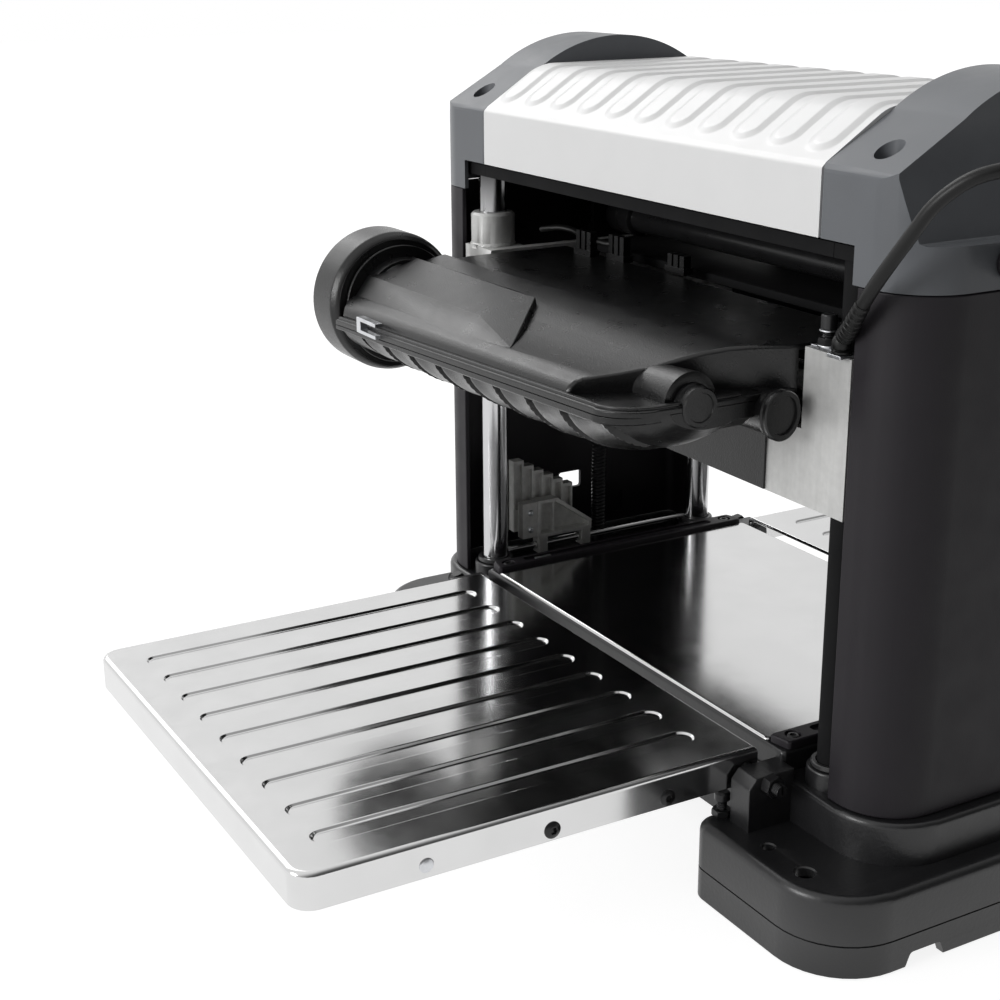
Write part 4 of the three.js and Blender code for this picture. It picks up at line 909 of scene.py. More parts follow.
def make_cap(side, name):
    low, high, w = cap_seam + 0.3, arch_centre + arch_r + 2, cover_wall
    x0, x1 = between(side, cap_inner - 2, cover_outer + 2)
    plan = side_plan(side, cap_inner, cover_outer, cover_half_depth, 2.5, cover_corner, 10, 16)
    plan_in = side_plan(side, cap_inner + w, cover_outer - w, cover_half_depth - w, 1,
                        cover_corner - w, 10 - w, 16)
    outer = common(prism("z", plan, low, high), prism("x", arch_outline(0, low - 2), x0, x1))
    inner = common(prism("z", plan_in, low - 1, high), prism("x", arch_outline(w, low - 5), x0, x1))
    notch = box(*between(side, cap_inner - 2, notch_x), -cover_half_depth - 2,
                cover_half_depth + 2, low - 3, notch_z)
    outer = softened(cleaned(carved(outer, cap_side(side, 0), notch)), 1.7, 3, 34)
    body = carved(outer, carved(inner, cap_side(side, w)))
    well_r, wells, holes = 11, [], []
    for sy in (-1, 1):
        well = side * cap_screw_x, sy * cap_screw_y
        wells.append(common(drill("z", well_r, cap_shoulder - 8, cap_shoulder + 24, *well, 48),
                            prism("x", arch_outline(1.2, low), x0, x1)))
        holes.append(lathe("z", [(cap_shoulder - 4, 7.2), (cap_shoulder - 3.4, 7.8),
                                 (cap_shoulder + 30, 8)], *well, 48))
    finish(f"{name}_side_cap", carved(joined(body, *wells), *holes), 0.35, 40, 2)
    profile = [(cap_shoulder + z, r) for z, r in ((-3.6, 0), (-3.6, 6.2), (-2.4, 6.2), (-0.6, 4.4), (0, 0))]
    for sy, label in rows:
        well = side * cap_screw_x, sy * cap_screw_y
        screw = socket_screw(profile, 2.6, cap_shoulder - 2, cap_shoulder + 2, *well, 0.2,
                             tip=rod("z", 2.6, cap_shoulder - 3.9, cap_shoulder - 3, *well))
        extra(f"{name}_{label}_cap_screw", screw, f"{name}_side_cap", "black_steel")


for side, name in sides:
    make_cap(side, name)


# Top cover: one pressed sheet with raised ribs that run over its creases
def make_top_cover():
    wall = 2.5
    half = cap_inner - 0.3
    rib_count, rib_half, rib_pitch, rib_first, rib_rise, rib_flank = 11, 12.0, 33.6, -170.0, 1.5, 4.2
    rib_foot_z, fine = 439, 1.6
    edge = cover_half_depth
    corners = [(-edge, notch_z), (-edge, cap_shoulder), (-edge + 3, cap_shoulder + 3),
               (-arch_tangent, cover_top), (arch_tangent, cover_top), (edge - 3, cap_shoulder + 3),
               (edge, cap_shoulder), (edge, notch_z)]
    profile = rounded(corners, [0, 2.6, 2.6, 30, 30, 2.6, 2.6, 0], 8)
    line = [Vector(profile[0])]
    for point in profile[1:]:
        step = Vector(point) - line[-1]
        count = max(1, round(step.length / fine))
        start = line[-1]
        line += [start + step * (i + 1) / count for i in range(count)]
    length = [0.0]
    for a, b in zip(line, line[1:]):
        length.append(length[-1] + (b - a).length)
    middle = length[-1] / 2
    foot = next(s for s, p in zip(length, line) if p.y > rib_foot_z and p.x < 0)
    rib_reach = middle - foot - rib_half
    columns = round(2 * half / fine)
    normals = []
    for i in range(len(line)):
        along = line[min(i + 1, len(line) - 1)] - line[max(i - 1, 0)]
        normals.append(Vector((-along.y, along.x)).normalized())

    def rise(x, s):
        nearest = rib_first + rib_pitch * min(rib_count - 1, max(0, round((x - rib_first) / rib_pitch)))
        beyond = max(0.0, abs(s - middle) - rib_reach)
        edge_way = rib_half - math.hypot(x - nearest, beyond)
        t = min(1.0, max(0.0, edge_way / rib_flank))
        return rib_rise * t * t * (3 - 2 * t)

    points = []
    for depth in (0.0, wall):
        for i, (point, normal) in enumerate(zip(line, normals)):
            for c in range(columns + 1):
                x = -half + 2 * half * c / columns
                spot = point + normal * (rise(x, length[i]) - depth)
                points.append((x, spot.x, spot.y))
    width = columns + 1
    sheet = width * len(line)
    faces = []
    for i in range(len(line) - 1):
        for c in range(columns):
            a = i * width + c
            faces.append((a, a + 1, a + 1 + width, a + width))
            a += sheet
            faces.append((a, a + width, a + 1 + width, a + 1))
    rim = list(range(width))
    rim += [i * width + columns for i in range(1, len(line))]
    rim += [(len(line) - 1) * width + c for c in reversed(range(columns))]
    rim += [i * width for i in range(len(line) - 2, 0, -1)]
    for a, b in zip(rim, rim[1:] + rim[:1]):
        faces.append((a, b, b + sheet, a + sheet))
    finish("top_cover", mesh_from(points, faces), 0)


make_top_cover()


# Dust hood: its seam leans, so that it is higher at the machine's right end
def leaned(mesh, full, none):
    """Lifts a mesh's points with x, wholly at height full and not at all at height none."""
    for vertex in mesh.vertices:
        share = min(1.0, max(0.0, (none - vertex.co.z) / (none - full)))
        vertex.co.z += seam_lean * vertex.co.x * share
    return mesh


hood_profile = [(-53, 91), (-127, 91), (-136, 90.8), (-147, 89.8), (-158, 87.7), (-168, 84.8),
                (-178, 81.0), (-189, 77.2), (-200, 74.4), (-210, 72.6), (-217, 71.2), (-221.5, 69.2),
                (-224.5, 66), (-225.8, 62)]


def seam_lip(out, right, corner_r, inner):
    """The lip's outline, whose rear right corner is round and whose other side follows inner."""
    rear = -231 + out
    outline = [(hood_end + out, rear), (right - out, rear)] + inner + [(hood_end + out, inner[-1][1])]
    return rounded(outline, [0.1, corner_r] + [0.1] * (len(outline) - 2), 14)


def make_hood_upper():
    # the shell in plan and in section, and the hollow inside both
    plan = [(hood_left - 22, -50), (hood_right, -50), (hood_right, -113.5), (hood_cut + 12, -204),
            (hood_cut + 4, -219), (hood_cut - 5, -240), (hood_left - 22, -240)]
    past_port = box(hood_end - 5, hood_left, -143, -40, 40, 100)
    plan_in = [(hood_left - 30, -45), (hood_right - 3, -45), (hood_right - 3, -113),
               (hood_cut + 8, -203), (hood_cut + 1, -219), (hood_cut - 8, -240), (hood_left - 30, -240)]
    low = seam_z + 0.2
    section = [(-53, low), (-53, 91)] + hood_profile[1:] + [(-226, low)]
    outer = common(prism("x", section, hood_end, 180), prism("z", rounded(
        plan, [0.1, 0.1, 14, 30, 30, 0.1, 0.1], 8), 40, 100))
    outer = softened(cleaned(carved(outer, past_port)), 2.2, 4, 30)
    inner_section = [(-40, 30), (-40, 88)] + [(y + (2.2 if y < -200 else 0.8), z - 3)
                                             for y, z in hood_profile[1:]] + [(-223, 30)]
    inner = common(prism("x", inner_section, hood_left - 10, 190), prism("z", plan_in, 20, 110))
    behind = box(-185, 185, hood_back, 0, 0, 88)

    # the duct: three long faces that run out on the shell in a point
    foot, ridge, back = (-219, 67.5), (-205, 81.5), (-170, 90.5)
    left = [(hood_end, y, z) for y, z in (foot, ridge, back, (-166.5, 80), (-166.5, 60), (-219, 60))]
    duct = hull(left + [(-16, -219, 69.5), (-26, *ridge), (-44, *back), (-23, -166, 89.5), (-19, -166, 80),
                        (8, -193, 78.5), (29, -214, 72), (29, -214, 62)])
    shell = joined(outer, softened(cleaned(duct), 0.9, 3, 12))
    opening = drill("x", 28, hood_end - 5, hood_left + 6, barrel_y, barrel_z, 64)
    shell = carved(shell, inner, behind, opening)

    # lip along the seam, then the shelf round the end cap
    def lip(d):
        return seam_lip(d, hood_right, 26, [(hood_right - d, -113), (hood_cut - 30, -113),
                                            (hood_cut - 30, -222)])

    shelf = slab("z", lip, low, low + 3.6, top=1.4, steps=3)
    bead = carved(slab("z", lambda d: lip(1.6 + d), low + 3, low + 5.4, top=1.0, steps=3),
                  prism("z", lip(4.6), 40, 80))
    bead = carved(bead, box(150, 190, -150, -100, 40, 80))
    rim = leaned(joined(shelf, bead), 60, 160)
    hollow = leaned(inner, 60, 84)
    shell = carved(joined(leaned(shell, 60, 84), rim), hollow, behind)

    # the end cap and the concave seat round it
    cap_z = 64.4
    cap = lathe("x", [(112, 4), (118, 9.5), (124, 11.2), (130, 11.5), (161.2, 11.5), (161.8, 12.3),
                      (166.2, 12.3), (166.8, 11.5), (172.3, 11.5), (173.5, 10.6), (173.5, 8.4),
                      (172.6, 8.0), (172.6, 0)], barrel_y, cap_z, 64)
    seat = carved(
        lathe("x", [(119, 6), (124, 14.5), (160, 17), (163, 17), (164.5, 12)], barrel_y, cap_z + 1, 64),
        box(100, 200, -215, -140, 20, cap_z - 1.6))
    # the hollow leans once more where it is cut out of the cap and the seat
    hollow = common(leaned(hollow, 60, 84), box(-200, 165, -240, -40, 10, 100))
    finish("hood_upper", carved(joined(shell, seat, cap), hollow), 0, 34)


def make_hood_lower():
    # each place along x, with the trough's set-back, half width and depth there
    sections = [(hood_end, 0, 47, 33.5), (92, 0, 47, 31.5), (130, 1, 46, 28), (155, 7, 41, 21),
                (168, 21, 31, 13), (hood_right, 34, 22, 8)]
    groove_first, groove_step, groove_lean, last_groove_x = -123.0, 37.7, 12, 152

    def at(x):
        for first, last in zip(sections, sections[1:]):
            if x <= last[0]:
                t = (x - first[0]) / (last[0] - first[0])
                return [a + (b - a) * t for a, b in zip(first[1:], last[1:])]
        return sections[-1][1:]

    def smooth_at(x):
        near = [at(x + step) for step in range(-9, 10, 3)]
        return [sum(row[i] for row in near) / len(near) for i in range(3)]

    def push_at(x, turn):
        """How far the skin stands out: leaning grooves, each with a raised rim, and a crown between two."""
        lean = x - groove_lean * turn - groove_first
        if lean <= -groove_step - 2 or x >= last_groove_x:
            return 0.0
        way = lean - groove_step * round(lean / groove_step)
        fade = min(1.0, max(0.0, (turn - 0.03) / 0.05))
        rim = 0.7 * math.exp(-((way + 3.9) / 0.9) ** 2)
        groove = 3.3 / (1 + (way / 2.2) ** 6)
        crown = 1.1 * math.cos(math.pi * way / groove_step) ** 2 if abs(way) > 2.9 else 0.0
        return fade * (rim - groove + crown - 0.6)

    def ring(x, wall, steps):
        set_back, half, depth = smooth_at(x)
        half, depth = half - wall, depth - wall
        centre = barrel_y - barrel_r + set_back + half + wall
        top = seam_z + (4 if wall else -0.2)
        points = []
        for i in range(steps + 1):
            turn = math.radians(-4 + 132 * i / steps)
            push = 0.0 if wall else push_at(x, turn)
            points.append((x, centre - (half + push) * math.cos(turn),
                           barrel_z - (depth + push) * math.sin(turn)))
        web = max(40 + wall, points[-1][2])
        return points + [(x, hood_back, web), (x, hood_back, top), (x, centre - half, top)]

    def stations(low, high, count):
        return [low + (high - low) * i / count for i in range(count + 1)]

    outer = loft([ring(x, 0, 72) for x in stations(hood_end, hood_right, 270)])
    inner = loft([ring(x, 4.5, 40) for x in stations(hood_end - 4, hood_right - 5, 60)])
    shell = carved(outer, inner)

    def lip(d):
        right = hood_right - 4
        return seam_lip(d, right, 24, [(right - d, -190), (right - 26, -190), (right - 46, -221)])

    lower_lip = slab("z", lip, seam_z - 4.2, seam_z - 0.3, bottom=1.2, top=0.4, steps=3)
    stub = joined(
        lathe("x", [(128, 0.0), (136, 8), (146, 10.4), (152, 11), (176.5, 11), (177.2, 12.2), (179, 12.5),
                    (179.8, 11.6), (180.8, 11.6), (181.6, 12.5), (183.2, 12.5), (184, 11.8), (184, 9.5),
                    (182.6, 9.2), (182.6, 0)], -131, 50, 56))
    stub = carved(stub, common(inner, box(-200, 170, -240, -100, 0, 100)))
    finish("hood_lower", leaned(joined(shell, lower_lip, stub), seam_z, 22), 0, 34)


def make_dust_port():
    left = -232.3
    profile = [(left, 46.2), (left + 0.4, 49.4), (left + 1.6, 50), (-203, 50), (-200.5, 49.6), (-198, 48.2),
               (-196.4, 46.2), (-195.8, 43.8), (-195.5, 40.6), (-195.0, 39.2), (-191.8, 39.0),
               (-191.6, 41.6), (-191.0, 42.1), (-189.8, 42.1), (-189.2, 41.6), (-189.0, 39.0),
               (-188.6, 34), (-180, 33), (-180, 31), (-193, 31), (-195, 45.4), (left + 1, 46)]
    finish("dust_port", lathe("x", profile, barrel_y, barrel_z, 96, closed=True), 0, 34)


make_hood_upper()
make_hood_lower()
make_dust_port()


# Carriage casting: bare blocks at the sides, black walls between them
def make_casting():
    reach, top, depth, wall_half = block_inner + 8, block_height, carriage_half_depth, block_inner - 0.5
    bare, holes = [], []
    for sx in (-1, 1):
        x0, x1 = between(sx, wall_half, reach)
        f0, f1 = between(sx, reach - 1, block_outer)
        parts = [box(x0, x1, -depth, depth, 0, top),
                 box(f0, f1, 1 - depth, depth - 1, flange_z, flange_z + 13),
                 drill("z", 14, flange_z, flange_z + 13, sx * screw_x, screw_y, 48)]
        for sy in (-1, 1):
            post = sx * column_x, sy * column_y
            parts.append(box(f0, f1, *between(sy, depth, depth - block_depth), 0, top))
            if not sx > 0 > sy:
                sleeve = [(top + z, r) for z, r in (
                    (-2, 16.8), (1.2, 16.8), (2.2, 16), (22.2, 16), (24, 14.4))]
                parts.append(lathe("z", sleeve, *post, 64))
            holes.append(drill("z", column_r + 0.3, -2, top + 30, *post, 64))
            holes.append(drill("x", 6.3, x0 - 2, x1 + 2, sy * 58, 17))
        bare.append(joined(parts[0], *parts[1:]))
        holes.append(drill("z", 10.3, flange_z - 2, flange_z + 15, sx * screw_x, screw_y, 48))
        holes.append(drill("x", 16.3, x0 - 2, x1 + 2, 0, 23, 64))
    bare.append(box(140, block_inner + 1, -depth, 6 - depth, 0, 44))
    holes.append(box(reach + 0.01, reach + 22, -26, 84, flange_z - 1, flange_z + 14))
    finish("carriage_casting", carved(joined(bare[0], *bare[1:]), *holes), 0.9, 36)
    walls = joined(box(-wall_half, wall_half, depth - 6, depth, 0, top),
                   box(-wall_half, 139.9, -depth, 6 - depth, 0, 44),
                   box(-wall_half, wall_half, -30, depth, top - 6, top))
    extra("carriage_walls", softened(cleaned(walls), 0.9, 3), "carriage_casting", "black_steel",
          look=dark_paint_and_shade)
    sill = softened(box(-150, 147, -depth - 1.4, -depth - 0.05, 0.4, 43), 0.4, 2)
    extra("rear_plate", sill, "carriage_casting", "hood_plastic")
    # bolt with washers beside the lead's elbow, on the strap
    spot, low = (191, -108.3), block_height + 2.4
    washers = joined(rod("z", 6.2, low, low + 1.3, *spot), rod("z", 5.2, low + 8.6, low + 9.6, *spot))
    extra("block_bolt_washer", washers, "cable_clip", "zinc_plate")
    bolt = joined(hexagon("z", 5.6, low + 1.35, low + 5, *spot),
                  threaded("z", 3.6, low + 4, low + 9, *spot, 1.25),
                  rod("z", 4.6, low + 9.7, low + 18, *spot, 0.8))
    extra("block_bolt", bolt, "cable_clip", "black_steel")


make_casting()


# Round bars and screws
def make_columns():
    for sx, across in sides:
        for sy, along in rows:
            post = sx * column_x, sy * column_y
            # the right rear one takes the nearly black look as painted shade, for the shadow it stands in
            # behind the cap
            look = dark_paint_and_shade if sx > 0 > sy else column_steel_painted_shade
            finish(f"{along}_{across}_column",
                   rod("z", column_r, collar_top + 0.3, head_top, *post, 1.0, 72), 0, look=look)
            extra(f"{along}_{across}_collar",
                  pipe("z", 13.5, column_r + 0.35, 87.2, 90.4, *post, 0.6, 56), "base", "black_casting")


def make_lift_drive():
    seat = crank_z - 14.3
    for sx, side in sides:
        axis = sx * screw_x, screw_y
        finish(f"{side}_lead_screw", bundled(
            threaded("z", screw_r, collar_top + 8, seat - 12, *axis, 3, 0.9, 28, 6),
            rod("z", screw_r - 0.9, collar_top + 0.3, collar_top + 8.2, *axis),
            rod("z", screw_r - 1, seat - 12.2, seat + 1, *axis),
            lathe("z", [(seat + 0.3, 4), (seat + 0.3, 13.7), (crank_z - 8, 7.7), (crank_z - 8, 4)],
                  *axis, 32)), 0)
    # the cross tube has its coupling at the left, between the bevel gears
    end = screw_x - 20.3
    coupling = [(0, 5), (0, 9.4), (0.6, 10), (5.4, 10), (6, 12.4), (6.6, 13), (18.6, 13), (19.2, 12.2),
                (20.8, 12.2), (21.4, 13), (33.4, 13), (34, 12.4), (35, 10)]
    profile = [(-266, 0), (-266, 4.6), (-265.6, 5)] + [(-end + x, r) for x, r in coupling]
    profile += [(end - 0.6, 10), (end, 9.4), (end, 5), (242, 5), (242, 0)]
    shaft = lathe("x", profile, screw_y, crank_z, 56)
    for sx in (-1, 1):
        w = between(sx, screw_x - 14, screw_x - 8)
        r = (13.7, 7.7) if sx > 0 else (7.7, 13.7)
        shaft = joined(shaft, lathe("x", [(w[0], r[0]), (w[1], r[1])], screw_y, crank_z, 32))
    for x in (-end + 13, -end + 27):
        shaft = joined(shaft, rod("z", 2.2, crank_z - 13.6, crank_z - 6, x, screw_y, 0.3, 20))
    finish("cross_shaft", shaft, 0)


make_columns()
make_lift_drive()


# Bed, its side guides and their screws
def make_bed():
    finish("bed_plate", pad("z", 0, 0, bed_half, bed_half_depth, 2.5, 90, 92, top=1.5, bottom=0.3, steps=5),
           0, 40)
    for side, name in sides:
        x0, x1 = between(side, bed_half + 0.3, bed_half + 16.3)
        middle = (x0 + x1) / 2

        def plan(d):
            long = bed_half_depth - 1 - d
            left, right = (long, long - 3) if side > 0 else (long - 3, long)
            return rounded([(x0 + d, -left), (x1 - d, -right), (x1 - d, right), (x0 + d, left)], 2.5, 4)

        bar = slab("z", plan, 90, 95, top=1.6, steps=4)
        tools = [pad("z", middle, 0, 3.6, 88, 3, 93, 97, bottom=1)]
        for y in (-guide_screw_y, guide_screw_y):
            tools.append(lathe("z", [(92.2, 0), (92.2, 4.6), (95.2, 5.2), (96, 5.2)], middle, y))
        finish(f"{name}_bed_guide", carved(bar, *tools), 0.3, 40, 2)
        profile = [(92.3, 0), (92.3, 4.2), (93.6, 4.2), (94.6, 3.2), (94.9, 0)]
        for end, label in rows:
            screw = socket_screw(profile, 2.2, 93.6, 96, middle, end * guide_screw_y, 0.15, 40)
            extra(f"{name}_{label}_guide_screw", screw, f"{name}_bed_guide", "black_steel")
        clip = softened(box(middle - 1.6, middle + 1.6, -78, -64, 93.1, 94.4), 0.4, 2)
        extra(f"{name}_guide_clip", clip, f"{name}_bed_guide", "zinc_plate")


make_bed()


# Screws and rivets on the tables' flanges, pivot bolts with their nuts, and the tables' stop screws
def pan_head(axis, r, low, high, u, v, outward, socket=None):
    """A domed screw head whose outer end is at high if outward is 1; socket is its socket's depth."""
    start, rise = (high, low - high) if outward < 0 else (low, high - low)
    dome = [(0.0, 0.0), (0.0, 1.0), (0.35, 1.0), (0.7, 0.86), (0.92, 0.6), (1.0, 0.0)]
    head = lathe(axis, [(start + share * rise, r * width) for share, width in dome], u, v, 32)
    if socket:
        ends = (high - socket, high + 1) if outward > 0 else (low - 1, low + socket)
        head = carved(head, hexagon(axis, r * 0.45, *ends, u, v))
    return head


def make_fixings():
    for (end, row), table in zip(rows, ("outfeed_table", "infeed_table")):
        for sx, side in sides:
            x0, x1 = between(sx, table_half - 0.4, table_half + 1.9)
            for number, (y, z) in enumerate(((269.8, 77), (191.9, 76))):
                extra(f"{table}_{side}_screw_{number + 1}",
                      pan_head("x", 5.2, x0, x1, end * y, z, sx, 1.2), table, "black_steel")
            rivet = pan_head("x", 4.4, x0, x1 - (0.6 if sx > 0 else 0), end * 348.7, 78, sx)
            extra(f"{table}_{side}_rivet", rivet, table, "zinc_plate")
            axis = end * pivot_y, pivot_z
            head = hexagon("x", 7, *between(sx, 162.1, 167.7), *axis, 30)
            nut = hexagon("x", 7, *between(sx, 190.3, 197.3), *axis, 12, 3.4)
            shank = rod("x", 4, *between(sx, 167.5, 190.5), *axis)
            thread = threaded("x", 4, *between(sx, 190.4, 202.6), *axis, 1.25, 0.55, 24, 5)
            slot = box(*between(sx, 200.8, 204), axis[0] - 0.7, axis[0] + 0.7, pivot_z - 5, pivot_z + 5)
            finish(f"{row}_{side}_pivot_bolt", bundled(joined(head, shank), nut, carved(thread, slot)), 0)
            spot = sx * 164.5, end * 148
            stop = bundled(threaded("z", 3.2, ledge_z - 0.5, 66, *spot, 1.25, 0.5, 20, 4),
                           hexagon("z", 6.2, ledge_z + 0.1, ledge_z + 4.6, *spot),
                           lathe("z", [(61, 3), (61, 4.8), (65, 4.8), (66.4, 3.6), (66.4, 0)], *spot, 32))
            extra(f"{row}_{side}_stop_screw", stop, "base", "black_steel")


make_fixings()


# Depth stop: a frame that slides on a rod and carries a block of steps
def make_depth_stop():
    finish("stop_rod", rod("y", 3, -85.7, 85.7, stop_x, stop_z, 0.6, 32), 0)
    y0, y1, z0 = stop_y - 25, stop_y + 25, stop_z + 7
    x0, x1 = stop_x - 4, stop_x + 6

    def sail(corners, low, high):
        return prism("x", [(y0 + y, z0 + z) for y, z in corners], low, high)

    plate = sail([(0, 0), (50, 0), (50, 8), (18, 31), (0, 31)], x0, x1)
    hole = sail([(3, 3), (47, 3), (47, 6.6), (16.6, 28), (3, 28)], x0 + 2, x1 + 1)
    feet = [box(x0, x1, y, y + 8, stop_z - 6, z0 + 1) for y in (y0 + 1, y1 - 9)]
    rib = box(x0 + 1, x1 - 2, y0 + 15, y0 + 16.6, z0 + 2, z0 + 29)
    block = box(x0 + 0.5, x1 - 1.5, y0 - 13, y0 + 1, z0 + 1, z0 + 30)
    body = carved(joined(carved(plate, hole), rib, block, *feet),
                  drill("y", 3.35, y0 - 2, y1 + 2, stop_x, stop_z, 32))
    finish("stop_slider", body, 0.5, 32, 2)
    for z in (z0 + 8, z0 + 22):
        extra(f"stop_screw_{int(z)}", pan_head("x", 2.6, x1 - 1.6, x1 + 0.4, y0 - 6, z, 1, 0.9),
              "stop_slider", "zinc_plate")
    count, step_y, step_z, top, width = 6, 9, 5, 161, 8
    start, right = y0 - 16, x0 - 0.3
    outline = [(start, stop_z + 12), (start + count * step_y, stop_z + 12)]
    windows = []
    for i in range(count - 1, -1, -1):
        z, first, last = top - i * step_z, start + i * step_y, start + (i + 1) * step_y
        outline += [(last, z), (first, z)]
        windows.append(box(right - 3.5, right + 1, first + 1.6, last - 1.6,
                           stop_z + (16 if i % 2 else 30), z - 3))
    finish("stop_steps", carved(prism("x", outline, right - width, right), *windows), 0.4, 32, 2)


make_depth_stop()


# Clips and a wire on the hood, which show under the top cover
def make_hood_fittings():
    top = hood_top
    for number, (x, y, size) in enumerate(((-127, -62, 1.0), (-97, -54, 1.0), (-38, -45, 0.7))):
        legs = [box(leg - 2.4, leg + 2.4, y - 3, y + 3, top - 1, top + 17 * size)
                for leg in (x - 7, x, x + 7)]
        seat = box(x - 11, x + 11, y - 4, y + 4, top - 0.5, top + 4)
        extra(f"wire_clip_{number + 1}", softened(cleaned(joined(seat, *legs)), 0.8, 2), "hood_upper",
              "hood_plastic")
    wire = [(x, y, top + z) for x, y, z in (
        (-176, -70, 12), (-160, -64, 15), (-146, -60, 14), (-133, -60, 11), (-122, -59, 10),
        (-110, -56, 10), (-96, -52, 9))]
    extra("hood_wire", swept(smooth_path(wire, 8), 2.2, 14), "hood_upper", "rubber", 40)
    # a bent clip that holds the seam beside the port
    low, high, sheet = 51.6, 62.4, 2.6
    clip = joined(*(box(-145, right, -235, -229, z0, z1) for right, z0, z1 in (
        (-116, low, low + sheet), (-116, high - sheet, high), (-139, low, high))))
    extra("seam_clip", softened(cleaned(clip), 0.6, 2), "hood_lower", "zinc_plate")


make_hood_fittings()


# Crank and its turning knob
def make_crank():
    arm_length, hub_r, tip_r = 75, 13, 9
    inner, face = -cover_outer - 4.3, -cover_outer - 12.3
    tip_z = crank_z - arm_length
    lean = math.degrees(math.asin((hub_r - tip_r) / arm_length))

    def plan(d):
        return (arc(screw_y, crank_z, hub_r - d, -lean, 180 + lean, 26)
                + arc(screw_y, tip_z, tip_r - d, 180 + lean, 360 - lean, 20))

    arm = slab("x", plan, face, inner, top=1.4, bottom=1.8, steps=4)
    panel = slab("x", lambda d: rect(screw_y - 5 + d, screw_y + 5 - d, tip_z + 17 + d, crank_z - 19 - d, 4),
                 face - 1, face + 1.6, top=0.8)
    hub = lathe("x", [(face - 3, 0), (face - 3, 6.6), (face - 2.2, 7.6), (face + 0.5, 8), (face + 0.5, 0)],
                screw_y, crank_z, 40)
    pin = rod("x", 4, face - 34, face + 1, screw_y, tip_z, 0.6, 28)
    nut = hexagon("x", 5.2, face - 6, face - 2.9, screw_y, crank_z, 12)
    finish("crank_arm", joined(carved(arm, panel), hub, pin, nut), 0, 34)
    knob = [(face - 0.3 + x, r) for x, r in (
        (-33, 4.4), (-33, 8.6), (-32.2, 9.8), (-30, 10.8), (-26, 11), (-18, 10.5), (-9, 9.2), (-4, 8.6),
        (-3.4, 8.1), (-2.6, 8.1), (-2, 8.7), (-0.8, 8.7), (0, 7.9), (0, 4.4))]
    finish("crank_knob", lathe("x", knob, screw_y, tip_z, 56, closed=True), 0, 40)


# Controls on the front: switch with its paddle, breaker button, scale and pointer
def make_switch():
    x, z, y = switch_x, 330, cover_half_depth + 0.3
    case = slab("y", lambda d: rect(x - 17 + d, x + 17 - d, z - 35 + d, z + 35 - d, 5 - d / 2),
                y, y + 13, top=1.8, bottom=0.4)
    rim = pad("y", x, z, 13.5, 28.5, 4, y + 12, y + 12.8, top=0.5)
    hollow = pad("y", x, z, 12, 27, 3, y + 5, y + 14, bottom=1)
    finish("switch_box", carved(joined(case, rim), hollow), 0, 36)
    for end in (-1, 1):
        screw = pan_head("y", 2.3, y + 12.7, y + 14.1, x, z + end * 31.4, 1, 0.8)
        extra(f"switch_box_screw_{end + 2}", screw, "switch_box", "black_steel")
    face = y + 13
    plate = pad("y", x, z - 5, 14, 25, 4, face + 0.3, face + 5, top=2.0, bottom=0.5, steps=5)
    grips = [rod("x", 1.3, x - 8, x + 8, face + 5.4, z - 22 + 4.6 * i, 0.8, 20) for i in range(4)]
    finish("switch_paddle", joined(
        carved(plate, *grips), rod("x", 3, x - 11.7, x + 11.7, face - 4, z + 22, 0.5, 28),
        box(x - 8, x + 8, face - 4, face + 2, z + 14, z + 22)), 0.3, 36, 2)
    button = [(y + out, r) for out, r in (
        (-6.3, 0), (-6.3, 5.6), (-5.9, 6), (3.4, 6), (4.4, 5.6), (5.2, 4.8), (5.7, 3.6), (5.2, 2.6),
        (5.0, 0))]
    finish("breaker_button", lathe("y", button, x, breaker_z, 40), 0, 40)


def make_scale():
    x, y, low = 236, cover_half_depth + 0.3, carriage_z + block_height / 2 - 155
    scale_half, mark_count, mark_pitch = 84, 63, 2.5
    finish("depth_scale", pad("y", x, low + scale_half, 9, scale_half, 1.5, y, y + 0.8, top=0.3), 0, 40)
    marks = []
    for i in range(mark_count):
        long = 9 if i % 10 == 0 else 6 if i % 5 == 0 else 3.6
        z = low + 6.5 + mark_pitch * i
        marks.append(box(x - 7.5, x - 7.5 + long, y + 0.7, y + 0.95, z - 0.3, z + 0.3))
    extra("depth_scale_marks", bundled(*marks), "depth_scale", "black_steel")
    middle, near, root = block_height / 2, carriage_half_depth + 0.3, block_outer - 13
    foot = pad("y", block_outer - 8, middle, 6, 6, 1.5, near, near + 3.6, top=0.7)
    needle = prism("y", [(root, middle - 1.5), (x - 8, middle - 1.5), (x - 2, middle),
                         (x - 8, middle + 1.5), (root, middle + 1.5)], near + 2.6, near + 3.5)
    finish("scale_pointer", joined(foot, needle), 0.2, 36, 2)
    screw = pan_head("y", 3, near + 3.4, near + 5.2, block_outer - 8, middle, 1, 1)
    extra("scale_pointer_screw", screw, "scale_pointer", "black_steel")


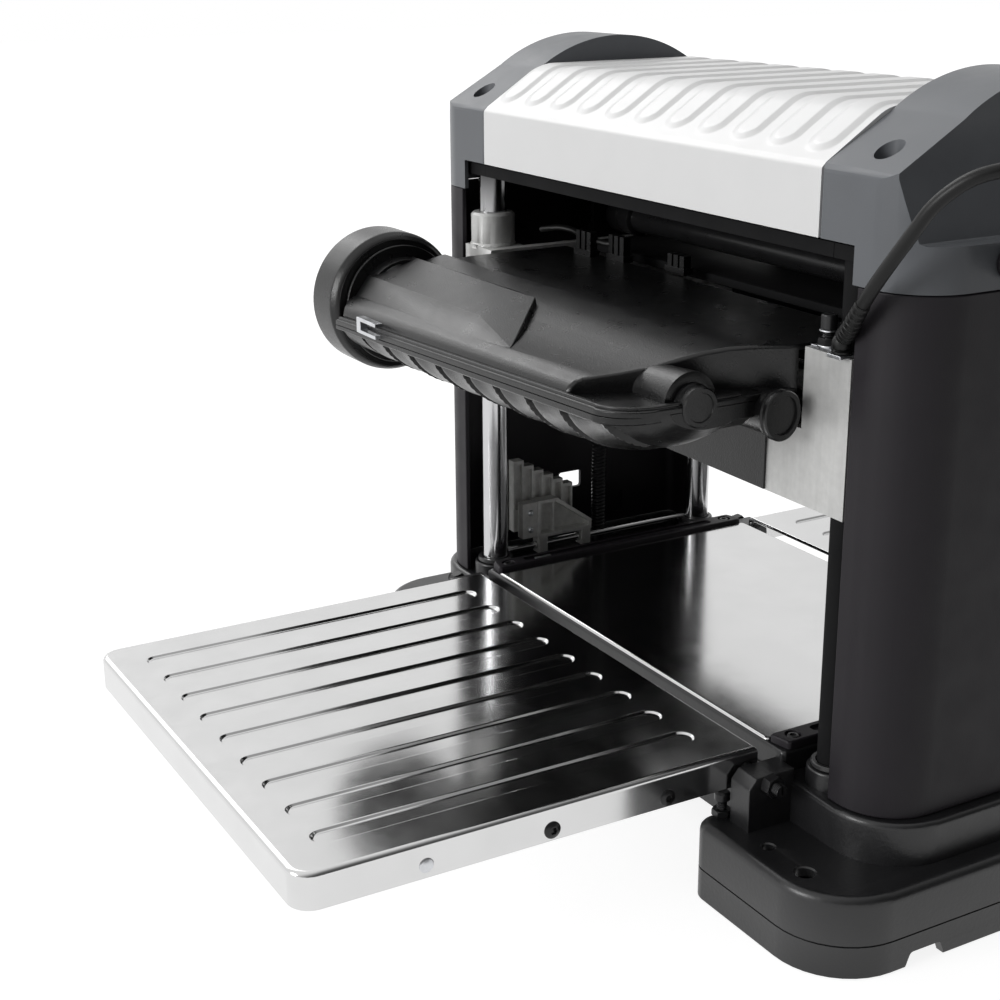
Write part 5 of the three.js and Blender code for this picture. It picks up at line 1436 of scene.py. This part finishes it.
# Fittings at both ends of the lead
def make_lead_fittings():
    x, y, z = lead_points[-1]
    axis = y, z + carriage_z
    low, bore = cover_outer + 0.3, lead_r + 1.2
    base = [(low, 0), (low, 8.6), (low + 0.5, 9), (low + 2, 9), (low + 2.4, 8.4), (low + 2.4, 0)]
    collar = [(low + 6, bore), (low + 6, 8), (low + 7.6, 8), (low + 8, 7), (x - 3, 7), (x - 0.9, 6.2),
              (x - 0.9, bore)]
    finish("lead_gland", joined(
        lathe("x", base, *axis, 48), hexagon("x", 9, low + 2.2, low + 6.6, *axis, 15),
        lathe("x", collar, *axis, 48, closed=True)), 0.3, 36, 2)
    seat, ball_r = block_height + 2.6, 5.5
    ball = arc(0, seat + ball_r, ball_r, -40, 80, 12)
    elbow = [(seat, 0), (seat, 5.2), (seat + 0.4, 5.5), (seat + 1.2, 5.5), (seat + 1.5, 4.6)]
    elbow += [(height, r) for r, height in ball] + [(seat + 11, 0)]
    finish("lead_elbow", lathe("z", elbow, column_x + 5.5, -carriage_half_depth - 1, 40), 0, 40)


# Motor: end bells with vents, and a body with lengthwise fins
def make_motor():
    left, right, y, z, r = -60, 150, 62, 129, 36

    def round_the_axis(radius, share):
        turn = 2 * math.pi * share
        return y + radius * math.cos(turn), z + radius * math.sin(turn)

    bells = []
    for end, way in ((left, 1), (right, -1)):
        profile = [(end + way * along, radius) for along, radius in (
            (0, 0), (0, 19), (1.5, 21), (3, 21.6), (3.4, 29), (6, 33), (10, 35.4), (14, r), (31, r),
            (32, 35), (40, 34), (40, 0))][::way]
        vents = [rod("x", 2.2, *sorted((end + way * 16, end + way * 28)),
                     *round_the_axis(r, (i + 0.5) / 12), 1.5, 16) for i in range(12)]
        bells.append(carved(lathe("x", profile, y, z, 72), *vents))
    fin_count, groove = 40, r - 2.4
    ring = [round_the_axis(radius, (i + share) / fin_count) for i in range(fin_count)
            for share, radius in ((0.0, r), (0.32, r), (0.46, groove), (0.86, groove))]
    fins = prism("x", ring, left + 34, right - 34)
    cradles = [box(x, x + 12, y - 26, y + 26, block_height + 0.3, z - 20) for x in (left + 20, right - 36)]
    body = carved(joined(*bells, fins, *cradles), drill("x", 7, right - 20, right + 2, y, z))
    finish("motor", body, 0.3, 34, 2)


make_crank()
make_switch()
make_scale()
make_lead_fittings()
make_motor()


# Every other node keeps its form, with rounded edges and a better finish
dark_nodes = ("upper_frame", "left_gear_bracket", "right_gear_bracket")


def dress(node):
    source = frame["nodes"][node].data.copy()
    source.transform(Matrix.Scale(1 / mm, 4))
    mesh = shaded(softened(cleaned(source, 0.02), 0.5, 2))
    look = dark_paint_and_shade if node in dark_nodes else None
    return place(f"{node}_finish", mesh, node_bodies[node], node_slots[node], [node], look)


for node in sorted(frame["nodes"]):
    if node not in detailed:
        dress(node)
